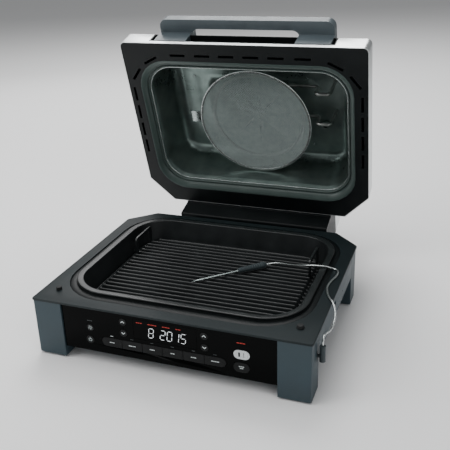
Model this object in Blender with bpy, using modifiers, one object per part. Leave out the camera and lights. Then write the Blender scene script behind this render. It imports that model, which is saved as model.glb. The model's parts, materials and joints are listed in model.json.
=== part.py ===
"""Countertop electric grill with a hinged convection lid, a deep pot, a grill grate and a meat probe.

Metres, +Z up. The front, with the control panel, looks along -Y, and +X is to the right of
someone facing it. Z = 0 is the surface that the feet stand on. The lid rests fully open.
"""

import math

import bmesh
import bpy
from mathutils import Matrix, Vector

# Clearances and frame.
GAP = 0.0003  # what touching pieces keep between them
FRAME_SHIFT = -0.1096  # from the middle of the base to the middle of the open appliance, along Y
CUT_MARGIN = 0.005  # how far a cutter runs past what it cuts
LAP = 0.002  # how far joined solids run into each other
CORNER_CUT = 0.0001  # keeps two arcs that make a half circle from meeting in one point
CLIP_SHARE = 2 - math.sqrt(2)  # how much a corner's 45 degree cut shrinks for each metre of inset

# Base.
BODY_WIDTH = 0.440
BODY_DEPTH = 0.368
DECK_TOP = 0.098
DECK_THICK = 0.003
DECK_CLIP = 0.044  # the cut-off rear corners
DECK_NOSE = 0.004
DECK_EDGE = 0.0008
DECK_BLEND = 0.006
SIDE_SETBACK = 0.0015  # the walls stand this far inside the deck's edge
LEG_FRONT_SETBACK = 0.001
LEG_SKIN = 0.004
HOUSING_WALL = 0.0025
HOUSING_BOTTOM = 0.056
HOUSING_REAR_SETBACK = 0.006
STEP_DRAFT = 0.0004  # the housing's steps beside the legs lean this much
SIDE_CUT = 0.01  # half the length of what cuts through the right wall
SIDE_VENT_LOW = (-0.041, 0.076)  # (y, z)
SIDE_VENT_HIGH = (-0.028, 0.083)
SIDE_SCREW_PLACE = (0.025, 0.070)
SIDE_SCREW_RADIUS = 0.0016

LEG_WIDTH = 0.0485
FRONT_LEG_DEPTH = 0.040
REAR_LEG_FRONT = 0.102
REAR_LEG_INNER = 0.150
REAR_LEG_STEP = 0.022
REAR_LEG_HEEL = 0.0175
REAR_LEG_WAIST = 0.0575
LEG_NOSE = 0.003
LEG_BLEND = 0.005
FOOT_RADIUS = 0.012
FOOT_HEIGHT = 0.0023
FOOT_INSET = 0.0225  # from the walls to the front feet
FOOT_FORWARD = 0.003  # the front feet stand this much nearer to the front
REAR_FOOT_X = 0.185
REAR_FOOT_Y = 0.149

NUB_X = 0.193  # the lid switch's plunger at the left, a rest for the lid at the right
NUB_Y = -0.147
NUB_RADIUS = 0.0045
PLUNGER_BOTTOM = 0.068
BUMPER_BOTTOM = 0.076
BUMPER_HEAD = 0.006
BUMPER_STEM = 0.003

COVER_DROP = 0.010  # from the heat well's underside down to the cover's
COVER_HALF_WIDTH = 0.188
COVER_FRONT = -0.150
COVER_REAR = 0.160
COVER_RADIUS = 0.070
COVER_LEG_GAP = 0.0025  # between the cover's front part and the legs
COVER_CHIN_REAR = -0.100
COVER_CHIN_LAP = 0.010
COVER_VENTS = 6
COVER_VENT_FIRST = -0.050
COVER_VENT_PITCH = 0.020
COVER_VENT_SIZE = (0.120, 0.006, 0.020)

# Control panel.
PANEL_RECESS = 0.003
PANEL_DEPTH = 0.0097
PANEL_BOTTOM = 0.020
PANEL_WALL = 0.0025
KEY_PROUD = 0.0006
KEY_DEPTH = 0.0040
KEY_TRAVEL = 0.001
ROUND_KEY = 0.0115
FUNCTION_KEY_EDGES = (-0.1047, -0.0707, -0.0376, -0.0052, 0.0278, 0.0609, 0.0942)
FUNCTION_KEY_Z = 0.0410
FUNCTION_KEY_HEIGHT = 0.0150
FUNCTION_KEY_SPLIT = 0.0006
# name: (x, z, width, height)
LONE_KEYS = {
    "key_light": (-0.1230, 0.0610, ROUND_KEY, ROUND_KEY),
    "key_power": (-0.1250, 0.0400, 0.0130, 0.0130),
    "key_temperature_up": (-0.0670, 0.0800, ROUND_KEY, ROUND_KEY),
    "key_temperature_down": (-0.0670, 0.0610, ROUND_KEY, ROUND_KEY),
    "key_time_up": (0.0620, 0.0800, ROUND_KEY, ROUND_KEY),
    "key_time_down": (0.0620, 0.0610, ROUND_KEY, ROUND_KEY),
    "key_preset": (0.1177, 0.0600, 0.0240, 0.0146),
    "key_start_stop": (0.1172, 0.0387, 0.0240, 0.0160),
}
WINDOW_LEFT = -0.050
WINDOW_RIGHT = 0.050
WINDOW_BOTTOM = 0.0555
WINDOW_TOP = 0.0885
WINDOW_THICK = 0.0018
BOARD_THICK = 0.0016
BOARD_HALF_WIDTH = 0.150
BOARD_BOTTOM = 0.026
BOARD_TOP = 0.088

# Pot, grate and heater.
WELL_HALF_WIDTH = 0.200  # the hole in the deck
WELL_FRONT = -0.162
WELL_REAR = 0.170
WELL_RADIUS = 0.080
POT_HALF_WIDTH = 0.190  # the pot's rolled rim
POT_FRONT = -0.146
POT_REAR = 0.158
POT_RADIUS = 0.068
POT_RIM_TOP = 0.102
POT_WALL = 0.0016
POT_BOTTOM = 0.046
RIM_WIDTH = 0.0085
RIM_THICK = 0.0032
# The pot's section inside and outside: (inset, height above the floor it turns from).
POT_FLOOR_INSET = 0.0400
POT_BEND_INSET = 0.0250
POT_BEND_RISE = 0.0006
POT_SIDE_INSET = 0.0180
POT_SIDE_RISE = 0.0064
POT_OUTER_INSET = 0.0164
POT_OUTER_RISE = 0.0074
POT_LIP_DROP = 0.0020
RIM_SOFTEN = 0.0015
TRIM_SINK = 0.0015  # below the deck
TRIM_SKIRT = 0.0018
TRIM_CLEAR = 0.0010
TRIM_STEP = 0.0005
TRIM_LEDGE = 0.0065
LINER_DROP = 0.016  # from the pot's underside down to the heat well's
LINER_WALL = 0.0012
LINER_FLOOR_INSET = 0.0300
LINER_BEND_INSET = 0.0150
LINER_BEND_RISE = 0.0060
LINER_OUTER_STEP = 0.0005
LINER_LAP = 0.0040
GRATE_INSET = 0.0185  # from the pot's rim to the grate's edge
GRATE_BOTTOM = 0.0600
GRATE_PLATE = 0.0060
RIDGE_TOP = 0.0740
RIDGE_PITCH = 0.0120
RIDGE_WIDTH = 0.0050
RIDGE_FLARE = 0.0008
RIDGE_TAPER = 0.0006
RIDGE_MARGIN = 0.012
GRATE_TRIM = 0.010
GRATE_FOOT = 0.012
GRATE_FOOT_IN = 0.010
GRATE_FOOT_FRONT = 0.050
GRATE_FOOT_SPACING = 0.150
GRATE_HANDLE_X = 0.158
GRATE_HANDLE_FRONT = 0.050
GRATE_HANDLE_REAR = 0.112
GRATE_HANDLE_TOP = 0.103
GRATE_HANDLE_THICK = 0.0035
GRATE_HANDLE_BAR = 0.0060
ELEMENT_RADIUS = 0.0035
ELEMENT_LIFT = 0.0030
SENSOR_RADIUS = 0.009
LOOP_HALF_WIDTH = 0.115
LOOP_FRONT = -0.085
LOOP_REAR = 0.095
LOOP_RADIUS = 0.045
LOOP_MOUTH = 0.025

# Lid.
LID_DEPTH = 0.345
LID_PLANE = 0.1035  # height of the lid frame's underside when closed
LID_CLIP_X = 0.045
LID_CLIP_Y = 0.049
LID_NOSE = 0.008
LID_OPEN_ANGLE = 73.5
HINGE_BEHIND = 0.0354  # from the rear edge of the closed lid back to the hinge axis
HINGE_BELOW = 0.0567  # from the lid's plane down to the hinge axis
SHELL_WALL = 0.0008
SHELL_BAND = 0.034
SHELL_TOP = 0.165
SHELL_TOP_INSET = 0.066
SHELL_SHOULDER_INSET = 0.058
SHELL_SHOULDER_DROP = 0.007
SHELL_FOOT_INSET = 0.002
SHELL_FOOT_RISE = 0.004
LID_BLEND = 0.004
FRAME_THICK = 0.006
FRAME_HOLE_HALF_WIDTH = 0.196
FRAME_HOLE_FRONT = 0.3115
FRAME_HOLE_REAR = 0.0325
FRAME_HOLE_RADIUS = 0.0575
CAVITY_HALF_WIDTH = 0.184
CAVITY_FRONT = 0.295
CAVITY_REAR = 0.048
CAVITY_RADIUS = 0.050
CAVITY_RIM = 0.012
CAVITY_TOP = 0.095
SEAL_LOW = 0.0005
SEAL_EDGE = 0.0045
SEAL_LIP = 0.0030
# The liner's section: insets from the cavity's outline, and heights from its rim or its top.
LID_LINER_FOOT = 0.004
LID_LINER_FOOT_RISE = 0.010
LID_LINER_BEND = 0.014
LID_LINER_BEND_DROP = 0.0055
LID_LINER_TOP = 0.0255
LID_LINER_STEP = 0.0005
SLOT_WIDTH = 0.0045
SLOT_LENGTH = 0.028
SLOT_CUT = 0.05
FRONT_SLOTS_X = (-0.112, -0.066, -0.022, 0.022, 0.066, 0.112)
FRONT_SLOTS_Y = -0.322
SIDE_SLOTS_X = 0.2095
SIDE_SLOTS_Y = (-0.128, -0.166, -0.204, -0.242)
CORNER_SLOTS = ((0.166, -0.311, 27), (0.1985, -0.283, 52))  # (x, y, turn in degrees)
FAN_CENTRE = 0.165  # from the lid's rear edge
SHIELD_RADIUS = 0.1080
SHIELD_HEIGHT = 0.046
SHIELD_THICK = 0.0025
SHIELD_PLATE = 0.0010
SHIELD_RIM = 0.003
FAN_RADIUS = 0.058
FAN_HUB = 0.013
FAN_BLADES = 8
FAN_BOTTOM = 0.074
FAN_HEIGHT = 0.0145
BLADE_SHARE = 0.30  # how much of the hub's circle the blades take
SHAFT_RADIUS = 0.003
MOTOR_RADIUS = 0.032
MOTOR_BOTTOM = 0.100
MOTOR_TOP = 0.138
MOTOR_BORE = 0.0035
COIL_RADIUS = 0.088
COIL_TUBE = 0.0034
COIL_HEIGHT = 0.0700
COIL_NEAR = -0.009  # its two ends, along Y from the fan's axis
COIL_FAR = -0.070
COIL_STEPS = 28
TERMINAL_INNER = 0.119
TERMINAL_OUTER = 0.145
TERMINAL_LOW = 0.0425
TERMINAL_BEND = 0.006
TERMINAL_TURN = 0.002
COIL_BEND = 0.005
COOLER_BOTTOM = 0.1405
COOLER_HEIGHT = 0.010
COOLER_HUB = 0.012
COOLER_RADIUS = 0.044
COOLER_BLADES = 9

POCKET_HALF_WIDTH = 0.165
POCKET_DEPTH = 0.0245
POCKET_BOTTOM = 0.008
POCKET_TOP = 0.036
POCKET_WALL = 0.0022
HANDLE_HALF_WIDTH = 0.157
HANDLE_OPENING = 0.097  # half of the hand opening
HANDLE_FRONT = 0.3685
HANDLE_BAR = 0.017
HANDLE_ROOT = 0.326
HANDLE_BOTTOM = 0.045
HANDLE_TOP = 0.062
HANDLE_CORNER = 0.014
HANDLE_INNER_CORNER = 0.012
HANDLE_ENTRY = 0.030  # how far in front of the lid the cut for the handle's legs starts
HANDLE_ENTRY_DROP = 0.006

# Hinge.
NECK_HALF_WIDTH = 0.148
NECK_BOTTOM = 0.066  # closed
NECK_REAR = 0.2565
NECK_TOP_ABOVE_PLANE = 0.039
NECK_FRONT_GAP = 0.0035
NECK_WALL = 0.0025
NECK_STEP = 0.0015
NECK_BLEND = 0.004
NECK_REAR_BLEND = 0.010
KNUCKLE_LAP = 0.001
HUMP_REACH = 0.0725  # behind the lid's rear edge
HUMP_TOP = 0.0855
HUMP_WALL = 0.0020
HUMP_BLEND = 0.012
HUMP_INSIDE_FRONT = -0.060
KNUCKLE_HALF_WIDTH = 0.1095
KNUCKLE_RADIUS = 0.016
EAR_INNER = 0.110
EAR_OUTER = 0.126
EAR_RADIUS = 0.014
HINGE_PIN_RADIUS = 0.005
HINGE_PIN_HALF = 0.139
HINGE_BLOCK_REACH = 0.0005  # behind the deck's rear edge
HINGE_BLOCK_LOW = 0.058
HINGE_BLOCK_DROP = 0.004
AXLE_REACH = 0.2
GLAND_X = -0.139
GLAND_Z = 0.070
GLAND_RADIUS = 0.008
GLAND_BORE = 0.0038
GLAND_LENGTH = 0.0055
SPRING_WIRE = 0.0009
SPRING_RADIUS = 0.0075
SPRING_PITCH = 0.0030
SPRING_TURN_STEPS = 12
SPRING_TURNS = 3

# Probe.
CABLE_RADIUS = 0.0015
CABLE_STEP = 0.0072
GRIP_RADIUS = 0.0062
GRIP_FRONT_RADIUS = 0.0044
GRIP_TAIL_RADIUS = 0.0030
GRIP_SHOULDER = 0.006
GRIP_SHOULDER_RADIUS = 0.0057
NEEDLE_RADIUS = 0.0016
NEEDLE_TIP_RADIUS = 0.0004
NEEDLE_TAPER = 0.010
GRIP_REAR = (0.0815, 0.0595, 0.0810)
GRIP_FRONT = (0.0425, 0.0265, 0.0796)
NEEDLE_TIP = (-0.0200, -0.0264, 0.0762)
PLUG_STANDOFF = 0.007  # from the right wall to the plug's middle
JACK_BACK = 0.033  # behind the front leg's front
JACK_Z = 0.060
PLUG_TOP = 0.0770
PLUG_BOTTOM = 0.0520
PLUG_RADIUS = 0.0045
PLUG_PIN_RADIUS = 0.0025
PLUG_PIN_LAP = 0.001
JACK_BORE_ROOM = 0.0006
JACK_HALF_WIDTH = 0.0042
JACK_HALF_HEIGHT = 0.008
JACK_DEPTH = 0.0040
# From the grip, over the pot's rim, along the deck and over its edge to the plug. Past the rim the
# route goes out with the right wall, and in front of the base's middle it stretches to the jack.
ROUTE_PAST_RIM = 0.199
ROUTE_HALF = 0.220  # half the base's width and the jack's place that the route is drawn for
ROUTE_JACK_Y = -0.150
CABLE_ROUTE = (
    (0.0823, 0.0602, 0.0811),
    (0.0900, 0.0645, 0.0818),
    (0.1000, 0.0655, 0.0835),
    (0.1130, 0.0600, 0.0865),
    (0.1270, 0.0520, 0.0905),
    (0.1410, 0.0435, 0.0955),
    (0.1540, 0.0370, 0.1005),
    (0.1660, 0.0340, 0.1033),
    (0.1770, 0.0338, 0.1043),
    (0.1865, 0.0350, 0.1042),
    (0.1905, 0.0363, 0.1034),
    (0.1960, 0.0383, 0.1013),
    (0.2015, 0.0386, 0.1001),
    (0.2070, 0.0350, 0.0999),
    (0.2096, 0.0272, 0.0999),
    (0.2092, 0.0150, 0.0999),
    (0.2055, -0.0015, 0.0999),
    (0.2035, -0.0225, 0.0999),
    (0.2088, -0.0450, 0.0999),
    (0.2150, -0.0585, 0.1002),
    (0.2210, -0.0680, 0.1003),
    (0.2255, -0.0745, 0.0965),
    (0.2283, -0.0820, 0.0903),
    (0.2296, -0.0925, 0.0850),
    (0.2295, -0.1050, 0.0826),
    (0.2284, -0.1190, 0.0834),
    (0.2268, -0.1320, 0.0870),
    (0.2258, -0.1425, 0.0893),
    (0.2255, -0.1487, 0.0860),
    (0.2255, -0.1500, 0.0815),
    (0.2255, -0.1500, 0.0773),
)

BODY_HALF = BODY_WIDTH / 2
BODY_FRONT = -BODY_DEPTH / 2
BODY_REAR = BODY_DEPTH / 2
WALL_HALF = BODY_HALF - SIDE_SETBACK
HOUSING_TOP = DECK_TOP - DECK_THICK - GAP
LEG_FRONT = BODY_FRONT + LEG_FRONT_SETBACK
LEG_REAR = BODY_REAR - SIDE_SETBACK
LEG_INNER = WALL_HALF - LEG_WIDTH
PANEL_FACE = LEG_FRONT + PANEL_RECESS
PANEL_BACK = PANEL_FACE + PANEL_DEPTH
PANEL_TOP = HOUSING_TOP - GAP
HOUSING_FRONT = PANEL_BACK + GAP
HOUSING_REAR = BODY_REAR - HOUSING_REAR_SETBACK
HINGE_Y = BODY_REAR + HINGE_BEHIND
HINGE_Z = LID_PLANE - HINGE_BELOW
NUB_TOP = LID_PLANE - 2 * GAP
LINER_BOTTOM = POT_BOTTOM - LINER_DROP
COVER_BOTTOM = LINER_BOTTOM - COVER_DROP
PLUG_X = WALL_HALF + PLUG_STANDOFF
JACK_Y = LEG_FRONT + JACK_BACK


# Scene and materials.
def clear_scene():
    for old in list(bpy.data.objects):
        bpy.data.objects.remove(old, do_unlink=True)


def new_collection(name):
    made = bpy.data.collections.new(name)
    bpy.context.scene.collection.children.link(made)
    return made


def linear(channel):
    return channel / 12.92 if channel <= 0.04045 else ((channel + 0.055) / 1.055) ** 2.4


def finish(name, colour, roughness, metallic=0.0):
    made = bpy.data.materials.new(name)
    made.use_nodes = True
    shader = made.node_tree.nodes["Principled BSDF"]
    channels = [linear(int(colour[i : i + 2], 16) / 255) for i in (0, 2, 4)]
    shader.inputs["Base Color"].default_value = (*channels, 1.0)
    shader.inputs["Roughness"].default_value = roughness
    shader.inputs["Metallic"].default_value = metallic
    made.diffuse_color = (*channels, 1.0)
    made.roughness = roughness
    made.metallic = metallic
    return made


def new_empty(name, place, parent=None):
    empty = bpy.data.objects.new(name, None)
    empty.location = place
    empty.parent = parent
    parts.objects.link(empty)
    return empty


# Outlines, counter-clockwise.
def rounded(corners, radii, steps=4):
    """The outline through the corners, with each one turned on its own radius."""
    points = []
    for i, corner in enumerate(corners):
        here = Vector(corner)
        before = (Vector(corners[i - 1]) - here).normalized()
        after = (Vector(corners[(i + 1) % len(corners)]) - here).normalized()
        if radii[i] <= 0:
            points.append(tuple(here))
            continue
        half = before.angle(after) / 2
        centre = here + (before + after).normalized() * radii[i] / math.sin(half)
        start = here + before * radii[i] / math.tan(half) - centre
        turn = math.pi - 2 * half
        if before.cross(after) > 0:
            turn = -turn
        for k in range(steps + 1):
            angle = turn * k / steps
            x = start.x * math.cos(angle) - start.y * math.sin(angle)
            y = start.x * math.sin(angle) + start.y * math.cos(angle)
            points.append((centre.x + x, centre.y + y))
    return points


def rectangle(left, right, low, high, radius=0.0, steps=4):
    corners = [(left, low), (right, low), (right, high), (left, high)]
    return rounded(corners, [radius] * 4, steps)


def mirrored(right_half):
    """The whole outline, from the points of its right half in order from the front to the rear."""
    return list(right_half) + [(-x, y) for x, y in reversed(right_half)]


def deck_outline(inset=0.0):
    half, front, rear = BODY_HALF - inset, BODY_FRONT + inset, BODY_REAR - inset
    clip = DECK_CLIP - inset * CLIP_SHARE
    corners = mirrored([(half, front), (half, rear - clip), (half - clip, rear)])
    return rounded(corners, [DECK_NOSE, *[DECK_BLEND] * 4, DECK_NOSE], 2)


def well_outline(inset=0.0):
    half = WELL_HALF_WIDTH - inset
    return rectangle(-half, half, WELL_FRONT + inset, WELL_REAR - inset, WELL_RADIUS - inset, 7)


def pot_outline(inset=0.0):
    half = POT_HALF_WIDTH - inset
    return rectangle(-half, half, POT_FRONT + inset, POT_REAR - inset, POT_RADIUS - inset, 7)


def cover_outline(inset=0.0):
    half = COVER_HALF_WIDTH - inset
    return rectangle(-half, half, COVER_FRONT + inset, COVER_REAR - inset, COVER_RADIUS - inset, 5)


def housing_outline(inset=0.0):
    """Steps out between the legs, so that the side panels are flush with the legs' skins."""
    skin = WALL_HALF - LEG_SKIN - GAP - inset
    side = WALL_HALF - inset
    step_front = LEG_FRONT + FRONT_LEG_DEPTH + GAP + inset
    step_rear = REAR_LEG_FRONT - GAP - inset
    rear = HOUSING_REAR - inset
    clip = DECK_CLIP - (LEG_SKIN + GAP + inset) * CLIP_SHARE
    return mirrored(
        [
            (skin, HOUSING_FRONT + inset),
            (skin, step_front),
            (side, step_front + STEP_DRAFT),
            (side, step_rear - STEP_DRAFT),
            (skin, step_rear),
            (skin, rear - clip),
            (skin - clip, rear),
        ]
    )


def lid_outline(inset=0.0):
    """From the lid's rear edge at y = 0 towards the front edge, at negative y."""
    half, front, rear = BODY_HALF - inset, -LID_DEPTH + inset, -inset
    right = [(half, front), (half, rear - LID_CLIP_Y), (half - LID_CLIP_X, rear)]
    nose = LID_NOSE + inset / 2
    blend = LID_BLEND + inset / 3
    return rounded(mirrored(right), [nose, blend, blend, blend, blend, nose], 3)


def frame_hole(inset=0.0):
    half = FRAME_HOLE_HALF_WIDTH - inset
    low, high = -FRAME_HOLE_FRONT + inset, -FRAME_HOLE_REAR - inset
    return rectangle(-half, half, low, high, FRAME_HOLE_RADIUS - inset, 6)


def cavity_outline(inset=0.0):
    half = CAVITY_HALF_WIDTH - inset
    low, high = -CAVITY_FRONT + inset, -CAVITY_REAR - inset
    return rectangle(-half, half, low, high, CAVITY_RADIUS - inset, 6)


def wheel_outline(hub, tip, blades, share):
    """A fan seen along its axis: straight blades that widen the hub's circle to the tip's."""
    points = []
    for blade in range(blades):
        middle = 2 * math.pi * blade / blades
        half_root = math.pi / blades * share
        half_tip = half_root * hub / tip
        for radius, angle in ((hub, -half_root), (tip, -half_tip), (tip, half_tip), (hub, half_root)):
            points.append((radius * math.cos(middle + angle), radius * math.sin(middle + angle)))
    return points


# Solids.
def add_object(name, data, look, parent, place=(0, 0, 0), turn=(0, 0, 0), guide=False):
    made = bpy.data.objects.new(name, data)
    made.location = place
    made.rotation_euler = turn
    made.parent = parent
    if guide:
        cutters.objects.link(made)
        made.hide_render = True
        made.display_type = "WIRE"
    else:
        parts.objects.link(made)
        data.materials.append(look)
    return made


def mesh_from(name, form):
    bmesh.ops.recalc_face_normals(form, faces=form.faces)
    mesh = bpy.data.meshes.new(name)
    form.to_mesh(mesh)
    form.free()
    return mesh


def smooth(made, degrees=35):
    made.data.shade_smooth()
    made.data.set_sharp_from_angle(angle=math.radians(degrees))
    return made


def loft(name, rings, look, parent, closed=False, **where):
    """A skin through rings of equal count: closed on itself, or capped at both ends."""
    form = bmesh.new()
    loops = [[form.verts.new(point) for point in ring] for ring in rings]
    pairs = list(zip(loops, loops[1:]))
    if closed:
        pairs.append((loops[-1], loops[0]))
    else:
        form.faces.new(loops[0])
        form.faces.new(loops[-1])
    for one, other in pairs:
        count = len(one)
        for i in range(count):
            j = (i + 1) % count
            form.faces.new((one[i], one[j], other[j], other[i]))
    return smooth(add_object(name, mesh_from(name, form), look, parent, **where))


def levels(*steps):
    """Rings for a loft, from (outline function, inset, height) steps."""
    return [[(x, y, height) for x, y in outline(inset)] for outline, inset, height in steps]


def plate(name, outlines, thick, look, parent, **where):
    """A flat outline, with any further outlines as its holes, made thick about its own plane."""
    curve = bpy.data.curves.new(name, "CURVE")
    curve.dimensions = "2D"
    curve.fill_mode = "BOTH"
    curve.extrude = thick / 2
    for outline in outlines:
        spline = curve.splines.new("POLY")
        spline.points.add(len(outline) - 1)
        for point, (x, y) in zip(spline.points, outline):
            point.co = (x, y, 0, 1)
        spline.use_cyclic_u = True
    return add_object(name, curve_mesh(curve), look, parent, **where)


def curve_mesh(curve):
    """The curve's surface as a mesh, with its caps welded on and made of whole faces."""
    guide = bpy.data.objects.new(curve.name, curve)
    cutters.objects.link(guide)
    graph = bpy.context.evaluated_depsgraph_get()
    mesh = bpy.data.meshes.new_from_object(guide.evaluated_get(graph))
    form = bmesh.new()
    form.from_mesh(mesh)
    bmesh.ops.remove_doubles(form, verts=form.verts, dist=0.00001)
    bmesh.ops.dissolve_limit(form, angle_limit=0.001, verts=form.verts, edges=form.edges)
    bmesh.ops.recalc_face_normals(form, faces=form.faces)
    form.to_mesh(mesh)
    form.free()
    bpy.data.objects.remove(guide, do_unlink=True)
    bpy.data.curves.remove(curve)
    return mesh


def slab(name, outlines, low, high, look, parent, **where):
    """A plate between two heights."""
    return plate(name, outlines, high - low, look, parent, place=(0, 0, (low + high) / 2), **where)


def face_plate(name, outline, front, back, look, parent, centre=(0, 0), **where):
    """A plate whose outline is in X and Z, between two depths along Y."""
    place = (centre[0], (front + back) / 2, centre[1])
    turn = (math.radians(90), 0, 0)
    return plate(name, [outline], back - front, look, parent, place=place, turn=turn, **where)


def side_plate(name, outline, left, right, look, parent, **where):
    """A plate whose outline is in Y and Z, between two places along X."""
    place = ((left + right) / 2, 0, 0)
    turn = (math.radians(90), 0, math.radians(90))
    return plate(name, [outline], right - left, look, parent, place=place, turn=turn, **where)


def block(name, low, high, look, parent, **where):
    """A box between two corners."""
    size = Vector(high) - Vector(low)
    form = bmesh.new()
    bmesh.ops.create_cube(form, size=1.0)
    bmesh.ops.scale(form, vec=size, verts=form.verts)
    middle = (Vector(high) + Vector(low)) / 2
    return add_object(name, mesh_from(name, form), look, parent, place=middle, **where)


def rod(name, radius, low, high, look, parent, sides=24, top=None, **where):
    """A round bar along its own Z, or a cone when its top radius is given."""
    form = bmesh.new()
    bmesh.ops.create_cone(
        form,
        cap_ends=True,
        segments=sides,
        radius1=radius,
        radius2=radius if top is None else top,
        depth=high - low,
    )
    bmesh.ops.translate(form, vec=(0, 0, (low + high) / 2), verts=form.verts)
    return smooth(add_object(name, mesh_from(name, form), look, parent, **where))


def turned(name, profile, look, parent, sides=40, **where):
    """A profile of (radius, height), from the top of its outer side down, spun about Z."""
    form = bmesh.new()
    points = [form.verts.new((radius, 0, height)) for radius, height in profile]
    for one, other in zip(points, points[1:]):
        form.edges.new((one, other))
    if profile[0][0] > 0:
        form.edges.new((points[-1], points[0]))
    mesh = bpy.data.meshes.new(name)
    form.to_mesh(mesh)
    form.free()
    made = add_object(name, mesh, look, parent, **where)
    screw = made.modifiers.new("Turn", "SCREW")
    screw.steps = sides
    screw.render_steps = sides
    screw.use_merge_vertices = True
    screw.merge_threshold = 0.00001
    screw.use_smooth_shade = False
    return made


def tube(name, points, radius, look, parent, resolution=2, **where):
    curve = bpy.data.curves.new(name, "CURVE")
    curve.dimensions = "3D"
    curve.bevel_depth = radius
    curve.bevel_resolution = resolution
    curve.use_fill_caps = True
    spline = curve.splines.new("POLY")
    spline.points.add(len(points) - 1)
    for knot, point in zip(spline.points, points):
        knot.co = (*point, 1)
    return add_object(name, curve, look, parent, **where)


def combine(made, other, operation):
    step = made.modifiers.new(f"{operation.title()} {other.name}", "BOOLEAN")
    step.operation = operation
    step.object = other
    step.solver = "EXACT"
    return made


def cut(made, *others):
    for other in others:
        combine(made, other, "DIFFERENCE")
    return made


def join(made, *others):
    for other in others:
        combine(made, other, "UNION")
    return made


def boxes_cutter(name, boxes, parent):
    """One cutter of separate boxes, each given by its centre, size and turn about Z."""
    form = bmesh.new()
    for centre, size, turn in boxes:
        made = bmesh.ops.create_cube(form, size=1.0)["verts"]
        bmesh.ops.scale(form, vec=size, verts=made)
        bmesh.ops.rotate(form, matrix=Matrix.Rotation(turn, 3, "Z"), verts=made)
        bmesh.ops.translate(form, vec=centre, verts=made)
    return add_object(name, mesh_from(name, form), None, parent, guide=True)


# Base.
def make_deck():
    low = DECK_TOP - DECK_THICK
    edge = DECK_TOP - DECK_EDGE
    rings = levels((deck_outline, 0, low), (deck_outline, 0, edge), (deck_outline, DECK_EDGE, DECK_TOP))
    deck = loft("base_deck", rings, deck_coat, base)
    over, under = DECK_TOP + CUT_MARGIN, low - CUT_MARGIN
    cut(
        deck,
        slab("deck_hole", [well_outline()], under, over, None, base, guide=True),
        rod("plunger_hole", NUB_RADIUS + GAP, under, over, None, base, guide=True,
            place=(-NUB_X, NUB_Y, 0)),
        rod("bumper_hole", BUMPER_STEM + GAP, under, over, None, base, guide=True,
            place=(NUB_X, NUB_Y, 0)),
    )


def make_housing():
    housing = slab("base_housing", [housing_outline()], HOUSING_BOTTOM, HOUSING_TOP, body_plastic, base)
    floor = HOUSING_BOTTOM + HOUSING_WALL
    inside = slab("housing_inside", [housing_outline(HOUSING_WALL)], floor, DECK_TOP, None, base, guide=True)
    opening = cover_outline(HOUSING_WALL)
    low, high = HOUSING_BOTTOM - CUT_MARGIN, floor + CUT_MARGIN
    well = slab("housing_opening", [opening], low, high, None, base, guide=True)
    left, right = WALL_HALF - SIDE_CUT, WALL_HALF + SIDE_CUT
    vent = block("side_vent", (left, *SIDE_VENT_LOW), (right, *SIDE_VENT_HIGH), None, base, guide=True)
    screw = rod("side_screw_hole", SIDE_SCREW_RADIUS, -SIDE_CUT, SIDE_CUT, None, base, sides=10, guide=True,
                place=(WALL_HALF, *SIDE_SCREW_PLACE), turn=(0, math.radians(90), 0))
    cut(housing, inside, well, vent, screw)


def make_bottom_cover():
    top = HOUSING_BOTTOM - GAP
    front_half = LEG_INNER - COVER_LEG_GAP
    cover = slab("bottom_cover", [cover_outline()], COVER_BOTTOM, top, body_plastic, base)
    chin = block("cover_chin", (-front_half, HOUSING_FRONT, COVER_BOTTOM), (front_half, COVER_CHIN_REAR, top),
                 None, base, guide=True)
    join(cover, chin)
    floor = COVER_BOTTOM + HOUSING_WALL
    over = top + CUT_MARGIN
    inside = slab("cover_inside", [cover_outline(HOUSING_WALL)], floor, over, None, base, guide=True)
    wall = front_half - HOUSING_WALL
    chin_inside = block("chin_inside", (-wall, HOUSING_FRONT + HOUSING_WALL, floor),
                        (wall, COVER_CHIN_REAR + COVER_CHIN_LAP, over), None, base, guide=True)
    join(inside, chin_inside)
    vents = []
    for row in range(COVER_VENTS):
        vents.append(((0, COVER_VENT_FIRST + row * COVER_VENT_PITCH, COVER_BOTTOM), COVER_VENT_SIZE, 0))
    cut(cover, inside, boxes_cutter("cover_vents", vents, base))


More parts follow.
